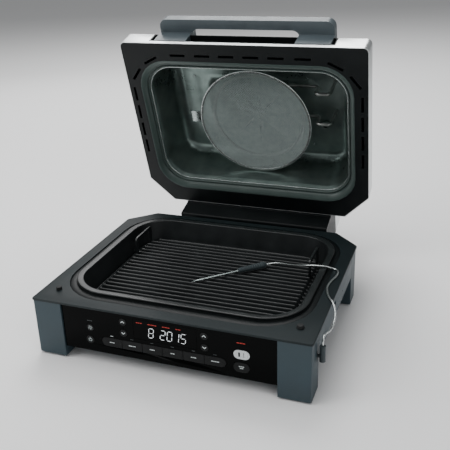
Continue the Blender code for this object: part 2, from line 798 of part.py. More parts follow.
def make_legs():
    foot_top = FOOT_HEIGHT + GAP
    skin = slab("leg_cutter", [housing_outline(-GAP)], HOUSING_BOTTOM - GAP, DECK_TOP, None, base, guide=True)
    front = rectangle(LEG_INNER, WALL_HALF, LEG_FRONT, LEG_FRONT + FRONT_LEG_DEPTH)
    clip = DECK_CLIP
    rear = [
        (LEG_INNER + REAR_LEG_STEP, REAR_LEG_FRONT),
        (WALL_HALF, REAR_LEG_FRONT),
        (WALL_HALF, LEG_REAR - clip),
        (WALL_HALF - clip, LEG_REAR),
        (REAR_LEG_INNER, LEG_REAR),
        (REAR_LEG_INNER, LEG_REAR - REAR_LEG_HEEL),
        (LEG_INNER + REAR_LEG_STEP, LEG_REAR - REAR_LEG_WAIST),
    ]
    rounding = {"front": [0, LEG_NOSE, 0, 0], "rear": [0, 0, LEG_BLEND, LEG_BLEND, 0, 0, 0]}
    for place, outline in (("front", front), ("rear", rear)):
        for side, sign in (("left", -1), ("right", 1)):
            corners = rounded(outline, rounding[place], 2)
            if sign < 0:
                corners = [(-x, y) for x, y in reversed(corners)]
            leg = slab(f"leg_{place}_{side}", [corners], foot_top, HOUSING_TOP, body_plastic, base)
            cut(leg, skin)
            if place == "front" and sign > 0:
                pocket = JACK_HALF_WIDTH + GAP
                low, high = JACK_Z - JACK_HALF_HEIGHT - GAP, JACK_Z + JACK_HALF_HEIGHT + GAP
                cut(leg, block("jack_pocket", (WALL_HALF - JACK_DEPTH - GAP, JACK_Y - pocket, low),
                               (WALL_HALF + SIDE_CUT, JACK_Y + pocket, high), None, base, guide=True))
    front_foot = (WALL_HALF - FOOT_INSET, LEG_FRONT + FOOT_INSET - FOOT_FORWARD)
    for place, (x, y) in (("front", front_foot), ("rear", (REAR_FOOT_X, REAR_FOOT_Y))):
        for side, sign in (("left", -1), ("right", 1)):
            rod(f"foot_{place}_{side}", FOOT_RADIUS, 0, FOOT_HEIGHT, rubber, base, place=(sign * x, y, 0))


def make_nubs():
    rod("lid_switch_plunger", NUB_RADIUS, PLUNGER_BOTTOM, NUB_TOP, rubber, base, sides=16,
        place=(-NUB_X, NUB_Y, 0))
    step = DECK_TOP + GAP
    profile = [(0, NUB_TOP), (NUB_RADIUS, NUB_TOP), (BUMPER_HEAD, step), (BUMPER_STEM, step),
               (BUMPER_STEM, BUMPER_BOTTOM), (0, BUMPER_BOTTOM)]
    turned("lid_bumper", profile, rubber, base, sides=16, place=(NUB_X, NUB_Y, 0))


# Control panel.
def pill(width, height, steps=5):
    radius = min(width, height) / 2 - CORNER_CUT / 10
    return rectangle(-width / 2, width / 2, -height / 2, height / 2, radius, steps)


def function_key_outline(index, grow=0.0):
    """About the middle of the key: only the row's two ends are round."""
    half = (FUNCTION_KEY_EDGES[index + 1] - FUNCTION_KEY_EDGES[index] - FUNCTION_KEY_SPLIT) / 2 + grow
    tall = FUNCTION_KEY_HEIGHT / 2 + grow
    first = tall - CORNER_CUT if index == 0 else 0
    last = tall - CORNER_CUT if index == len(FUNCTION_KEY_EDGES) - 2 else 0
    corners = [(-half, -tall), (half, -tall), (half, tall), (-half, tall)]
    return rounded(corners, [first, last, last, first], 5)


def make_control_panel():
    half = LEG_INNER - GAP
    low, high = (-half, PANEL_FACE, PANEL_BOTTOM), (half, PANEL_BACK, PANEL_TOP)
    panel = block("control_panel", low, high, gloss_black, base)
    inner = half - PANEL_WALL
    hollow = block("panel_hollow", (-inner, PANEL_FACE + PANEL_WALL, PANEL_BOTTOM + PANEL_WALL),
                   (inner, PANEL_BACK + CUT_MARGIN, PANEL_TOP - PANEL_WALL), None, base, guide=True)
    cut(panel, hollow)
    front, back = PANEL_FACE - CUT_MARGIN, PANEL_FACE + PANEL_WALL + CUT_MARGIN
    for name, (x, z, width, height) in LONE_KEYS.items():
        outline = pill(width + 2 * GAP, height + 2 * GAP)
        cut(panel, face_plate(f"hole_{name}", outline, front, back, None, base, centre=(x, z), guide=True))
    left, right = FUNCTION_KEY_EDGES[0], FUNCTION_KEY_EDGES[-1]
    row = pill(right - left + 2 * GAP, FUNCTION_KEY_HEIGHT + 2 * GAP)
    middle = ((left + right) / 2, FUNCTION_KEY_Z)
    cut(panel, face_plate("hole_function_keys", row, front, back, None, base, centre=middle, guide=True))
    window = rectangle(WINDOW_LEFT - GAP, WINDOW_RIGHT + GAP, WINDOW_BOTTOM - GAP, WINDOW_TOP + GAP)
    cut(panel, face_plate("hole_window", window, front, back, None, base, guide=True))


def make_keys():
    front, back = PANEL_FACE - KEY_PROUD, PANEL_FACE - KEY_PROUD + KEY_DEPTH
    for name, (x, z, width, height) in LONE_KEYS.items():
        look = silver_paint if name == "key_preset" else key_plastic
        face_plate(name, pill(width, height), front, back, look, base, centre=(x, z))
    for index in range(len(FUNCTION_KEY_EDGES) - 1):
        x = (FUNCTION_KEY_EDGES[index] + FUNCTION_KEY_EDGES[index + 1]) / 2
        face_plate(f"key_function_{index + 1}", function_key_outline(index), front, back, key_plastic, base,
                   centre=(x, FUNCTION_KEY_Z))


def make_display():
    window = rectangle(WINDOW_LEFT, WINDOW_RIGHT, WINDOW_BOTTOM, WINDOW_TOP)
    face_plate("display_window", window, PANEL_FACE, PANEL_FACE + WINDOW_THICK, gloss_black, base)
    front = PANEL_FACE - KEY_PROUD + KEY_DEPTH + KEY_TRAVEL + 2 * GAP
    block("control_board", (-BOARD_HALF_WIDTH, front, BOARD_BOTTOM),
          (BOARD_HALF_WIDTH, front + BOARD_THICK, BOARD_TOP), board_green, base)


# Pot, grate and heater.
def make_trim_ring():
    top, low = DECK_TOP - TRIM_SINK, DECK_TOP - DECK_THICK - TRIM_SKIRT
    seat = POT_RIM_TOP - RIM_THICK - GAP
    loft(
        "pot_trim_ring",
        levels(
            (well_outline, GAP, low),
            (well_outline, GAP, top),
            (pot_outline, -TRIM_CLEAR, top),
            (pot_outline, TRIM_STEP, seat),
            (pot_outline, TRIM_LEDGE, seat),
            (pot_outline, TRIM_LEDGE, low),
        ),
        satin_black,
        base,
        closed=True,
    )


def make_heat_well():
    top = DECK_TOP - DECK_THICK - TRIM_SKIRT - GAP
    low = top - LINER_WALL
    well = loft(
        "heat_well",
        levels(
            (pot_outline, LINER_FLOOR_INSET, LINER_BOTTOM + LINER_WALL),
            (pot_outline, LINER_BEND_INSET, LINER_BOTTOM + LINER_BEND_RISE),
            (pot_outline, TRIM_LEDGE, top),
            (well_outline, -LINER_LAP, top),
            (well_outline, -LINER_LAP, low),
            (pot_outline, TRIM_LEDGE - LINER_WALL, low),
            (pot_outline, LINER_BEND_INSET - LINER_WALL, LINER_BOTTOM + LINER_BEND_RISE - LINER_OUTER_STEP),
            (pot_outline, LINER_FLOOR_INSET - LINER_OUTER_STEP, LINER_BOTTOM),
        ),
        dull_steel,
        base,
    )
    low, high = LINER_BOTTOM - CUT_MARGIN, LINER_BOTTOM + CUT_MARGIN
    cut(well, rod("sensor_hole", SENSOR_RADIUS + GAP, low, high, None, base, guide=True))
    low, high = COVER_BOTTOM + HOUSING_WALL + GAP, POT_BOTTOM - GAP
    rod("temperature_sensor", SENSOR_RADIUS, low, high, dull_steel, base)


def make_lower_element():
    """A rounded loop under the pot, open at the rear where its two ends stop."""
    height = LINER_BOTTOM + LINER_WALL + ELEMENT_RADIUS + ELEMENT_LIFT
    loop = rectangle(-LOOP_HALF_WIDTH, LOOP_HALF_WIDTH, LOOP_FRONT, LOOP_REAR, LOOP_RADIUS, 6)
    rear_corner = len(loop) * 3 // 4
    path = [(-LOOP_MOUTH, LOOP_REAR)] + loop[rear_corner:] + loop[:rear_corner] + [(LOOP_MOUTH, LOOP_REAR)]
    tube("lower_element", [(x, y, height) for x, y in path], ELEMENT_RADIUS, heater_grey, base)


def make_pot():
    under_rim = POT_RIM_TOP - RIM_THICK
    side = RIM_WIDTH + POT_WALL
    floor = POT_BOTTOM + POT_WALL
    loft(
        "cooking_pot",
        levels(
            (pot_outline, POT_FLOOR_INSET, floor),
            (pot_outline, POT_BEND_INSET, floor + POT_BEND_RISE),
            (pot_outline, POT_SIDE_INSET, floor + POT_SIDE_RISE),
            (pot_outline, side, POT_RIM_TOP - POT_LIP_DROP),
            (pot_outline, RIM_WIDTH, POT_RIM_TOP),
            (pot_outline, RIM_SOFTEN, POT_RIM_TOP),
            (pot_outline, 0.0, POT_RIM_TOP - RIM_SOFTEN),
            (pot_outline, 0.0, under_rim),
            (pot_outline, RIM_WIDTH, under_rim),
            (pot_outline, POT_OUTER_INSET, POT_BOTTOM + POT_OUTER_RISE),
            (pot_outline, POT_BEND_INSET, POT_BOTTOM),
            (pot_outline, POT_FLOOR_INSET, POT_BOTTOM),
        ),
        nonstick,
        base,
    )


def make_grate():
    """A comb section run from side to side and trimmed to the pot's outline."""
    edge = pot_outline(GRATE_INSET)
    front, rear = min(y for x, y in edge), max(y for x, y in edge)
    top = GRATE_BOTTOM + GRATE_PLATE
    count = int((rear - front - RIDGE_MARGIN) // RIDGE_PITCH) + 1
    first = (front + rear - (count - 1) * RIDGE_PITCH) / 2
    comb = [(front - GRATE_TRIM, GRATE_BOTTOM), (rear + GRATE_TRIM, GRATE_BOTTOM), (rear + GRATE_TRIM, top)]
    for ridge in reversed(range(count)):
        y = first + ridge * RIDGE_PITCH
        half_root, half_crest = RIDGE_WIDTH / 2 + RIDGE_FLARE, RIDGE_WIDTH / 2 - RIDGE_TAPER
        comb += [(y + half_root, top), (y + half_crest, RIDGE_TOP)]
        comb += [(y - half_crest, RIDGE_TOP), (y - half_root, top)]
    comb.append((front - GRATE_TRIM, top))
    half = POT_HALF_WIDTH
    grate = side_plate("grill_grate", comb, -half, half, nonstick, base)
    low, high = GRATE_BOTTOM - GRATE_TRIM, RIDGE_TOP + GRATE_TRIM
    trim = slab("grate_trim", [edge], low, high, None, base, guide=True)
    combine(grate, trim, "INTERSECT")
    inner = pot_outline(POT_FLOOR_INSET)
    feet = []
    reach_x = max(x for x, y in inner) - GRATE_FOOT_IN
    reach_y = min(y for x, y in inner) + GRATE_FOOT_FRONT
    low, high = POT_BOTTOM + POT_WALL + GAP, GRATE_BOTTOM + LAP
    for x in (-reach_x, reach_x):
        for y in (reach_y, reach_y + GRATE_FOOT_SPACING):
            feet.append(((x, y, (low + high) / 2), (GRATE_FOOT, GRATE_FOOT, high - low), 0))
    join(grate, boxes_cutter("grate_feet", feet, base))
    root = top - LAP
    bracket = [
        (GRATE_HANDLE_FRONT, root),
        (GRATE_HANDLE_FRONT + GRATE_HANDLE_BAR, root),
        (GRATE_HANDLE_FRONT + GRATE_HANDLE_BAR, GRATE_HANDLE_TOP - GRATE_HANDLE_BAR),
        (GRATE_HANDLE_REAR - GRATE_HANDLE_BAR, GRATE_HANDLE_TOP - GRATE_HANDLE_BAR),
        (GRATE_HANDLE_REAR - GRATE_HANDLE_BAR, root),
        (GRATE_HANDLE_REAR, root),
        (GRATE_HANDLE_REAR, GRATE_HANDLE_TOP),
        (GRATE_HANDLE_FRONT, GRATE_HANDLE_TOP),
    ]
    for sign in (-1, 1):
        x = sign * GRATE_HANDLE_X
        name = f"grate_handle_{'left' if sign < 0 else 'right'}"
        left, right = x - GRATE_HANDLE_THICK / 2, x + GRATE_HANDLE_THICK / 2
        join(grate, side_plate(name, bracket, left, right, None, base, guide=True))


# Probe.
def smooth_route(knots, step):
    """Points a step apart on the Catmull-Rom curve through the knots."""
    knots = [Vector(knot) for knot in knots]
    ends = [2 * knots[0] - knots[1], *knots, 2 * knots[-1] - knots[-2]]
    fine = []
    for a, b, c, d in zip(ends, ends[1:], ends[2:], ends[3:]):
        for k in range(20):
            t = k / 20
            fine.append(
                0.5 * (2 * b + (c - a) * t + (2 * a - 5 * b + 4 * c - d) * t**2
                       + (3 * b - a - 3 * c + d) * t**3)
            )
    fine.append(knots[-1])
    along = [0.0]
    for one, other in zip(fine, fine[1:]):
        along.append(along[-1] + (other - one).length)
    count = max(2, round(along[-1] / step))
    points, at = [], 0
    for k in range(count + 1):
        target = along[-1] * k / count
        while at < len(along) - 2 and along[at + 1] < target:
            at += 1
        share = (target - along[at]) / (along[at + 1] - along[at])
        points.append(tuple(fine[at].lerp(fine[at + 1], share)))
    return points


def spindle(name, start, end, profile, look, sides):
    """A turned piece along a line: its profile is (distance from the start, radius)."""
    start, along = Vector(start), Vector(end) - Vector(start)
    turn = along.to_track_quat("Z", "Y").to_euler()
    outer = [(radius, distance) for distance, radius in reversed(profile)]
    closed = [(0, outer[0][1]), *outer, (0, outer[-1][1])]
    return turned(name, closed, look, base, sides=sides, place=start, turn=turn)


def cable_knots():
    """The cable's route for this base: moved out with the wall and stretched to the jack."""
    knots = []
    for x, y, z in CABLE_ROUTE:
        out = BODY_HALF - ROUTE_HALF if x > ROUTE_PAST_RIM else 0
        stretch = JACK_Y / ROUTE_JACK_Y if y < 0 else 1
        knots.append((x + out, y * stretch, z))
    return knots


def make_probe():
    tube("probe_cable", smooth_route(cable_knots(), CABLE_STEP), CABLE_RADIUS, braid, base)
    length = (Vector(GRIP_FRONT) - Vector(GRIP_REAR)).length
    profile = [(0, GRIP_TAIL_RADIUS), (GRIP_SHOULDER, GRIP_SHOULDER_RADIUS)]
    profile += [(2 * GRIP_SHOULDER, GRIP_RADIUS), (length, GRIP_FRONT_RADIUS)]
    spindle("probe_grip", GRIP_REAR, GRIP_FRONT, profile, grip_rubber, 16)
    length = (Vector(NEEDLE_TIP) - Vector(GRIP_FRONT)).length
    profile = [(GAP, NEEDLE_RADIUS), (length - NEEDLE_TAPER, NEEDLE_RADIUS), (length, NEEDLE_TIP_RADIUS)]
    spindle("probe_needle", GRIP_FRONT, NEEDLE_TIP, profile, bright_steel, 12)
    plug = rod("probe_plug", PLUG_RADIUS, PLUG_BOTTOM, PLUG_TOP, grip_rubber, base, sides=16,
               place=(PLUG_X, JACK_Y, 0))
    pin_end = WALL_HALF - JACK_DEPTH / 2
    pin = rod("plug_pin", PLUG_PIN_RADIUS, pin_end, PLUG_X - PLUG_PIN_LAP, None, base, sides=12, guide=True,
              place=(0, JACK_Y, JACK_Z), turn=(0, math.radians(90), 0))
    join(plug, pin)
    jack = block("probe_jack", (WALL_HALF - JACK_DEPTH, JACK_Y - JACK_HALF_WIDTH, JACK_Z - JACK_HALF_HEIGHT),
                 (WALL_HALF, JACK_Y + JACK_HALF_WIDTH, JACK_Z + JACK_HALF_HEIGHT), satin_black, base)
    low, high = pin_end - JACK_BORE_ROOM, BODY_HALF + SIDE_CUT
    cut(jack, rod("jack_bore", PLUG_PIN_RADIUS + GAP, low, high, None, base, sides=12, guide=True,
                  place=(0, JACK_Y, JACK_Z), turn=(0, math.radians(90), 0)))


# Hinge.
def make_hinge():
    rear = HOUSING_REAR + GAP
    low, high = HINGE_Z - EAR_RADIUS, HINGE_Z + EAR_RADIUS
    housing = block("hinge_housing", (-EAR_OUTER, rear, HINGE_BLOCK_LOW),
                    (EAR_OUTER, BODY_REAR + HINGE_BLOCK_REACH, HOUSING_TOP - HINGE_BLOCK_DROP), body_plastic, base)
    ear = rounded([(rear, low), (HINGE_Y + EAR_RADIUS, low), (HINGE_Y + EAR_RADIUS, high), (rear, high)],
                  [0, EAR_RADIUS - CORNER_CUT, EAR_RADIUS - CORNER_CUT, 0], 6)
    for sign in (-1, 1):
        left, right = sorted((sign * EAR_INNER, sign * EAR_OUTER))
        side = "left" if sign < 0 else "right"
        join(housing, side_plate(f"hinge_ear_{side}", ear, left, right, None, base, guide=True))
    turn = (0, math.radians(90), 0)
    axis = (0, HINGE_Y, HINGE_Z)
    cut(housing, rod("ear_bore", HINGE_PIN_RADIUS + GAP, -AXLE_REACH, AXLE_REACH, None, base, guide=True,
                     place=axis, turn=turn))
    half = HINGE_PIN_HALF
    rod("hinge_shaft", HINGE_PIN_RADIUS, -half, half, bright_steel, base, place=axis, turn=turn)
    for sign in (-1, 1):
        coil = []
        for k in range(SPRING_TURNS * SPRING_TURN_STEPS + 1):
            angle = 2 * math.pi * k / SPRING_TURN_STEPS
            x = sign * (EAR_OUTER + SPRING_WIRE + GAP + SPRING_PITCH * k / SPRING_TURN_STEPS)
            y, z = SPRING_RADIUS * math.cos(angle), SPRING_RADIUS * math.sin(angle)
            coil.append((x, HINGE_Y + y, HINGE_Z + z))
        side = "left" if sign < 0 else "right"
        tube(f"hinge_spring_{side}", coil, SPRING_WIRE, bright_steel, base, resolution=1)
    profile = [(GLAND_RADIUS, GLAND_LENGTH), (GLAND_RADIUS, 0), (GLAND_BORE, 0), (GLAND_BORE, GLAND_LENGTH)]
    turned("power_cord_gland", profile, rubber, base, sides=20, place=(GLAND_X, rear, GLAND_Z),
           turn=(math.radians(-90), 0, 0))


# Lid.
def make_lid_shell():
    wall = SHELL_WALL
    shoulder = SHELL_TOP - SHELL_SHOULDER_DROP
    foot = SHELL_BAND + SHELL_FOOT_RISE
    shell = loft(
        "lid_shell",
        levels(
            (lid_outline, SHELL_TOP_INSET, SHELL_TOP - wall),
            (lid_outline, SHELL_SHOULDER_INSET + wall, shoulder - wall),
            (lid_outline, SHELL_FOOT_INSET + wall, foot),
            (lid_outline, wall, SHELL_BAND),
            (lid_outline, wall, 0),
            (lid_outline, 0, 0),
            (lid_outline, 0, SHELL_BAND),
            (lid_outline, SHELL_FOOT_INSET, foot),
            (lid_outline, SHELL_SHOULDER_INSET, shoulder),
            (lid_outline, SHELL_TOP_INSET, SHELL_TOP),
        ),
        brushed_steel,
        lid,
    )
    pocket = block("pocket_cutter", (-POCKET_HALF_WIDTH, -LID_DEPTH - CUT_MARGIN, POCKET_BOTTOM),
                   (POCKET_HALF_WIDTH, -LID_DEPTH + POCKET_DEPTH, POCKET_TOP), None, lid, guide=True)
    cut(shell, pocket, leg_slots())


def leg_slots():
    """What the handle's two legs need through the shell and the pocket's roof."""
    boxes = []
    middle = (HANDLE_OPENING + HANDLE_HALF_WIDTH) / 2
    width = HANDLE_HALF_WIDTH - HANDLE_OPENING + 2 * GAP
    front, rear = -LID_DEPTH - HANDLE_ENTRY, -HANDLE_ROOT + GAP
    low, high = POCKET_TOP - HANDLE_ENTRY_DROP, HANDLE_TOP + GAP
    for sign in (-1, 1):
        centre = (sign * middle, (front + rear) / 2, (low + high) / 2)
        boxes.append((centre, (width, rear - front, high - low), 0))
    return boxes_cutter("leg_slots", boxes, lid)


def make_lid_frame():
    edge = SHELL_WALL + GAP
    frame = slab("lid_frame", [lid_outline(edge), frame_hole()], 0, FRAME_THICK, satin_black, lid)
    slots = []
    size = (SLOT_LENGTH, SLOT_WIDTH, SLOT_CUT)
    for x in FRONT_SLOTS_X:
        slots.append(((x, FRONT_SLOTS_Y, 0), size, 0))
    for sign in (-1, 1):
        for y in SIDE_SLOTS_Y:
            slots.append(((sign * SIDE_SLOTS_X, y, 0), size, math.radians(90)))
        for x, y, turn in CORNER_SLOTS:
            slots.append(((sign * x, y, 0), size, sign * math.radians(turn)))
    cut(frame, boxes_cutter("frame_slots", slots, lid))


def make_lid_inside():
    loft(
        "lid_gasket",
        levels(
            (frame_hole, GAP, SEAL_LOW),
            (frame_hole, GAP, SEAL_EDGE),
            (cavity_outline, SEAL_LOW, CAVITY_RIM),
            (cavity_outline, SEAL_LOW, CAVITY_RIM - SEAL_LIP),
        ),
        gasket_grey,
        lid,
        closed=True,
    )
    wall = SHELL_WALL
    bend = CAVITY_TOP - LID_LINER_BEND_DROP
    liner = loft(
        "lid_liner",
        levels(
            (cavity_outline, LID_LINER_TOP + LID_LINER_STEP, CAVITY_TOP - wall),
            (cavity_outline, LID_LINER_BEND + 2 * LID_LINER_STEP, bend - LID_LINER_STEP),
            (cavity_outline, LID_LINER_FOOT + wall, CAVITY_RIM + LID_LINER_FOOT_RISE),
            (cavity_outline, wall, CAVITY_RIM + GAP),
            (cavity_outline, 0, CAVITY_RIM + GAP),
            (cavity_outline, LID_LINER_FOOT, CAVITY_RIM + LID_LINER_FOOT_RISE + LID_LINER_STEP),
            (cavity_outline, LID_LINER_BEND, bend),
            (cavity_outline, LID_LINER_TOP, CAVITY_TOP),
        ),
        dull_steel,
        lid,
    )
    low, high = CAVITY_TOP - CUT_MARGIN, CAVITY_TOP + CUT_MARGIN
    cut(liner, rod("liner_bore", SHAFT_RADIUS + LAP, low, high, None, lid, guide=True,
                   place=(0, -FAN_CENTRE, 0)))


def make_convection():
    centre = (0, -FAN_CENTRE, 0)
    rim, low, high = SHIELD_RADIUS, SHIELD_HEIGHT, SHIELD_HEIGHT + SHIELD_THICK
    plate_top, inner = low + SHIELD_PLATE, rim - SHIELD_RIM
    profile = [(0, plate_top), (inner, plate_top), (inner, high), (rim, high), (rim, low), (0, low)]
    turned("splatter_shield", profile, bright_steel, lid, sides=48, place=centre)
    fan_top = FAN_BOTTOM + FAN_HEIGHT
    wheel = wheel_outline(FAN_HUB, FAN_RADIUS, FAN_BLADES, BLADE_SHARE)
    slab("convection_fan", [wheel], FAN_BOTTOM, fan_top, dull_steel, fan)
    rod("fan_shaft", SHAFT_RADIUS, fan_top + GAP, COOLER_BOTTOM - GAP, bright_steel, fan, sides=16)
    cooler = wheel_outline(COOLER_HUB, COOLER_RADIUS, COOLER_BLADES, BLADE_SHARE)
    slab("cooling_fan", [cooler], COOLER_BOTTOM, COOLER_BOTTOM + COOLER_HEIGHT, satin_black, fan)
    motor = [(MOTOR_RADIUS, MOTOR_TOP), (MOTOR_RADIUS, MOTOR_BOTTOM), (MOTOR_BORE, MOTOR_BOTTOM),
             (MOTOR_BORE, MOTOR_TOP)]
    turned("fan_motor", motor, dull_steel, lid, sides=32, place=centre)


def make_upper_element():
    """One ring around the fan, whose two ends come down at the right and turn up to their terminals."""
    first = math.asin(COIL_NEAR / COIL_RADIUS)
    last = math.asin(COIL_FAR / COIL_RADIUS) + 2 * math.pi
    ceiling = CAVITY_TOP - SHELL_WALL - GAP
    inner, outer, low = TERMINAL_INNER, TERMINAL_OUTER, TERMINAL_LOW

    def terminal(offset):
        """From the terminal down, across and up again to the ring's height."""
        y = offset - FAN_CENTRE
        return [
            (outer, y, ceiling),
            (outer, y, low + TERMINAL_BEND),
            (outer - TERMINAL_TURN, y, low + TERMINAL_TURN),
            (outer - TERMINAL_BEND, y, low),
            (inner + TERMINAL_BEND, y, low),
            (inner + TERMINAL_TURN, y, low + TERMINAL_TURN),
            (inner, y, low + TERMINAL_BEND),
            (inner, y, COIL_HEIGHT - COIL_BEND),
            (inner - COIL_BEND, y, COIL_HEIGHT),
        ]

    ring = []
    for k in range(COIL_STEPS + 1):
        angle = first + (last - first) * k / COIL_STEPS
        ring.append((COIL_RADIUS * math.cos(angle), COIL_RADIUS * math.sin(angle) - FAN_CENTRE, COIL_HEIGHT))
    path = terminal(COIL_NEAR) + ring + terminal(COIL_FAR)[::-1]
    tube("upper_element", path, COIL_TUBE, heater_grey, lid)


def make_handle():
    floor, roof = POCKET_BOTTOM + GAP, POCKET_TOP - GAP
    half = POCKET_HALF_WIDTH - GAP
    rear = -LID_DEPTH + POCKET_DEPTH - GAP
    front = -LID_DEPTH + GAP
    tray = block("handle_base", (-half, front, floor), (half, rear, roof), satin_black, lid)
    hollow = block("pocket_hollow", (-half + POCKET_WALL, front - CUT_MARGIN, floor + POCKET_WALL),
                   (half - POCKET_WALL, rear - POCKET_WALL, roof - POCKET_WALL), None, lid, guide=True)
    cut(tray, hollow, bpy.data.objects["leg_slots"])
    outer, inner = HANDLE_HALF_WIDTH, HANDLE_OPENING
    bar = HANDLE_FRONT - HANDLE_BAR
    outline = [(-outer, -HANDLE_FRONT), (outer, -HANDLE_FRONT), (outer, -HANDLE_ROOT), (inner, -HANDLE_ROOT),
               (inner, -bar), (-inner, -bar), (-inner, -HANDLE_ROOT), (-outer, -HANDLE_ROOT)]
    near, far = HANDLE_CORNER, HANDLE_INNER_CORNER
    loop = rounded(outline, [near, near, 0, 0, far, far, 0, 0], 5)
    handle = slab("lid_handle", [loop], HANDLE_BOTTOM, HANDLE_TOP, handle_plastic, lid)
    legs = []
    leg_low, leg_high = floor + POCKET_WALL + GAP, HANDLE_BOTTOM + LAP
    for sign in (-1, 1):
        centre = (sign * (outer + inner) / 2, -(HANDLE_ROOT + LID_DEPTH) / 2, (leg_low + leg_high) / 2)
        legs.append((centre, (outer - inner, LID_DEPTH - HANDLE_ROOT, leg_high - leg_low), 0))
    join(handle, boxes_cutter("handle_legs", legs, lid))


def make_neck():
    """The dark tower behind the closed lid, down to the knuckle on the hinge's shaft, in the lid's frame."""
    low = NECK_BOTTOM - LID_PLANE
    rear = NECK_REAR - BODY_REAR
    top = NECK_TOP_ABOVE_PLANE
    outline = rounded(
        [(NECK_FRONT_GAP, low), (rear, low), (rear, top), (GAP, top), (GAP, NECK_STEP), (NECK_FRONT_GAP, 0)],
        [NECK_BLEND, NECK_REAR_BLEND, 0, 0, 0, 0],
        3,
    )
    neck = side_plate("neck_cover", outline, -NECK_HALF_WIDTH, NECK_HALF_WIDTH, satin_black, lid)
    inside = block("neck_inside", (-NECK_HALF_WIDTH + NECK_WALL, NECK_FRONT_GAP + NECK_WALL, low + NECK_WALL),
                   (NECK_HALF_WIDTH - NECK_WALL, rear - NECK_WALL, top + CUT_MARGIN), None, lid, guide=True)
    cut(neck, inside)
    y, z, r = HINGE_BEHIND, -HINGE_BELOW, KNUCKLE_RADIUS
    over = low + KNUCKLE_LAP
    barrel = rounded([(y - r, z - r), (y + r, z - r), (y + r, over), (y - r, over)],
                     [r - CORNER_CUT, r - CORNER_CUT, 0, 0], 6)
    join(neck, side_plate("knuckle", barrel, -KNUCKLE_HALF_WIDTH, KNUCKLE_HALF_WIDTH, None, lid, guide=True))
    cut(neck, rod("knuckle_bore", HINGE_PIN_RADIUS + GAP, -AXLE_REACH, AXLE_REACH, None, lid, guide=True,
                  place=(0, y, z), turn=(0, math.radians(90), 0)))
    foot = SHELL_BAND + SHELL_FOOT_RISE
    slope = (SHELL_SHOULDER_INSET - SHELL_FOOT_INSET) / (SHELL_TOP - SHELL_SHOULDER_DROP - foot)
    bottom = top + GAP
    lean = SHELL_FOOT_INSET + slope * (bottom - foot) - 2 * GAP
    high_lean = SHELL_FOOT_INSET + slope * (HUMP_TOP - foot) - 2 * GAP
    hump = rounded([(-lean, bottom), (HUMP_REACH, bottom), (HUMP_REACH, HUMP_TOP), (-high_lean, HUMP_TOP)],
                   [0, 0, HUMP_BLEND, 0], 4)
    cover = side_plate("rear_hump", hump, -NECK_HALF_WIDTH, NECK_HALF_WIDTH, brushed_steel, lid)
    wall = HUMP_WALL
    cut(cover, block("hump_inside", (-NECK_HALF_WIDTH + wall, HUMP_INSIDE_FRONT, bottom + wall),
                     (NECK_HALF_WIDTH - wall, HUMP_REACH - wall, HUMP_TOP - wall), None, lid, guide=True))


clear_scene()
parts = new_collection("electric_grill")
cutters = new_collection("cutters")

deck_coat = finish("dark coated steel", "30383a", 0.42, 0.55)
body_plastic = finish("slate plastic", "46545c", 0.45)
gloss_black = finish("gloss black panel", "060708", 0.08)
key_plastic = finish("dark key plastic", "1c2022", 0.35)
silver_paint = finish("silver key", "c2c8c9", 0.25, 0.6)
satin_black = finish("satin black plastic", "1a1f20", 0.5)
rubber = finish("foot rubber", "101213", 0.8)
nonstick = finish("nonstick coating", "2a2e2f", 0.42, 0.2)
heater_grey = finish("heating element sheath", "4a4b4a", 0.5, 0.8)
dull_steel = finish("pressed steel", "8a908f", 0.38, 1.0)
bright_steel = finish("bright steel", "c8cccc", 0.22, 1.0)
brushed_steel = finish("brushed stainless steel", "d6d9d9", 0.30, 1.0)
gasket_grey = finish("gasket silicone", "3a4644", 0.6)
handle_plastic = finish("handle plastic", "2e383c", 0.4)
grip_rubber = finish("probe grip silicone", "2b3a3e", 0.55)
braid = finish("braided steel cable", "c8cac8", 0.35, 0.8)
board_green = finish("circuit board", "1f4a30", 0.5)

base = new_empty("base_origin", (0, FRAME_SHIFT, 0))
hinge = new_empty("hinge_axis", (0, HINGE_Y, HINGE_Z), base)
hinge.rotation_euler = (math.radians(-LID_OPEN_ANGLE), 0, 0)
lid = new_empty("lid_plane", (0, -HINGE_BEHIND, HINGE_BELOW), hinge)
fan = new_empty("fan_axis", (0, -FAN_CENTRE, 0), lid)

make_deck()
make_housing()
make_bottom_cover()
make_legs()
make_nubs()
make_control_panel()
make_keys()
make_display()
make_trim_ring()
make_heat_well()
make_lower_element()
make_pot()
make_grate()
make_probe()
make_hinge()
make_lid_shell()
make_lid_frame()
make_lid_inside()
make_convection()
make_upper_element()
make_handle()
make_neck()
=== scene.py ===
import json
import math

import bmesh
import bpy
import numpy as np
from mathutils import Matrix, Vector


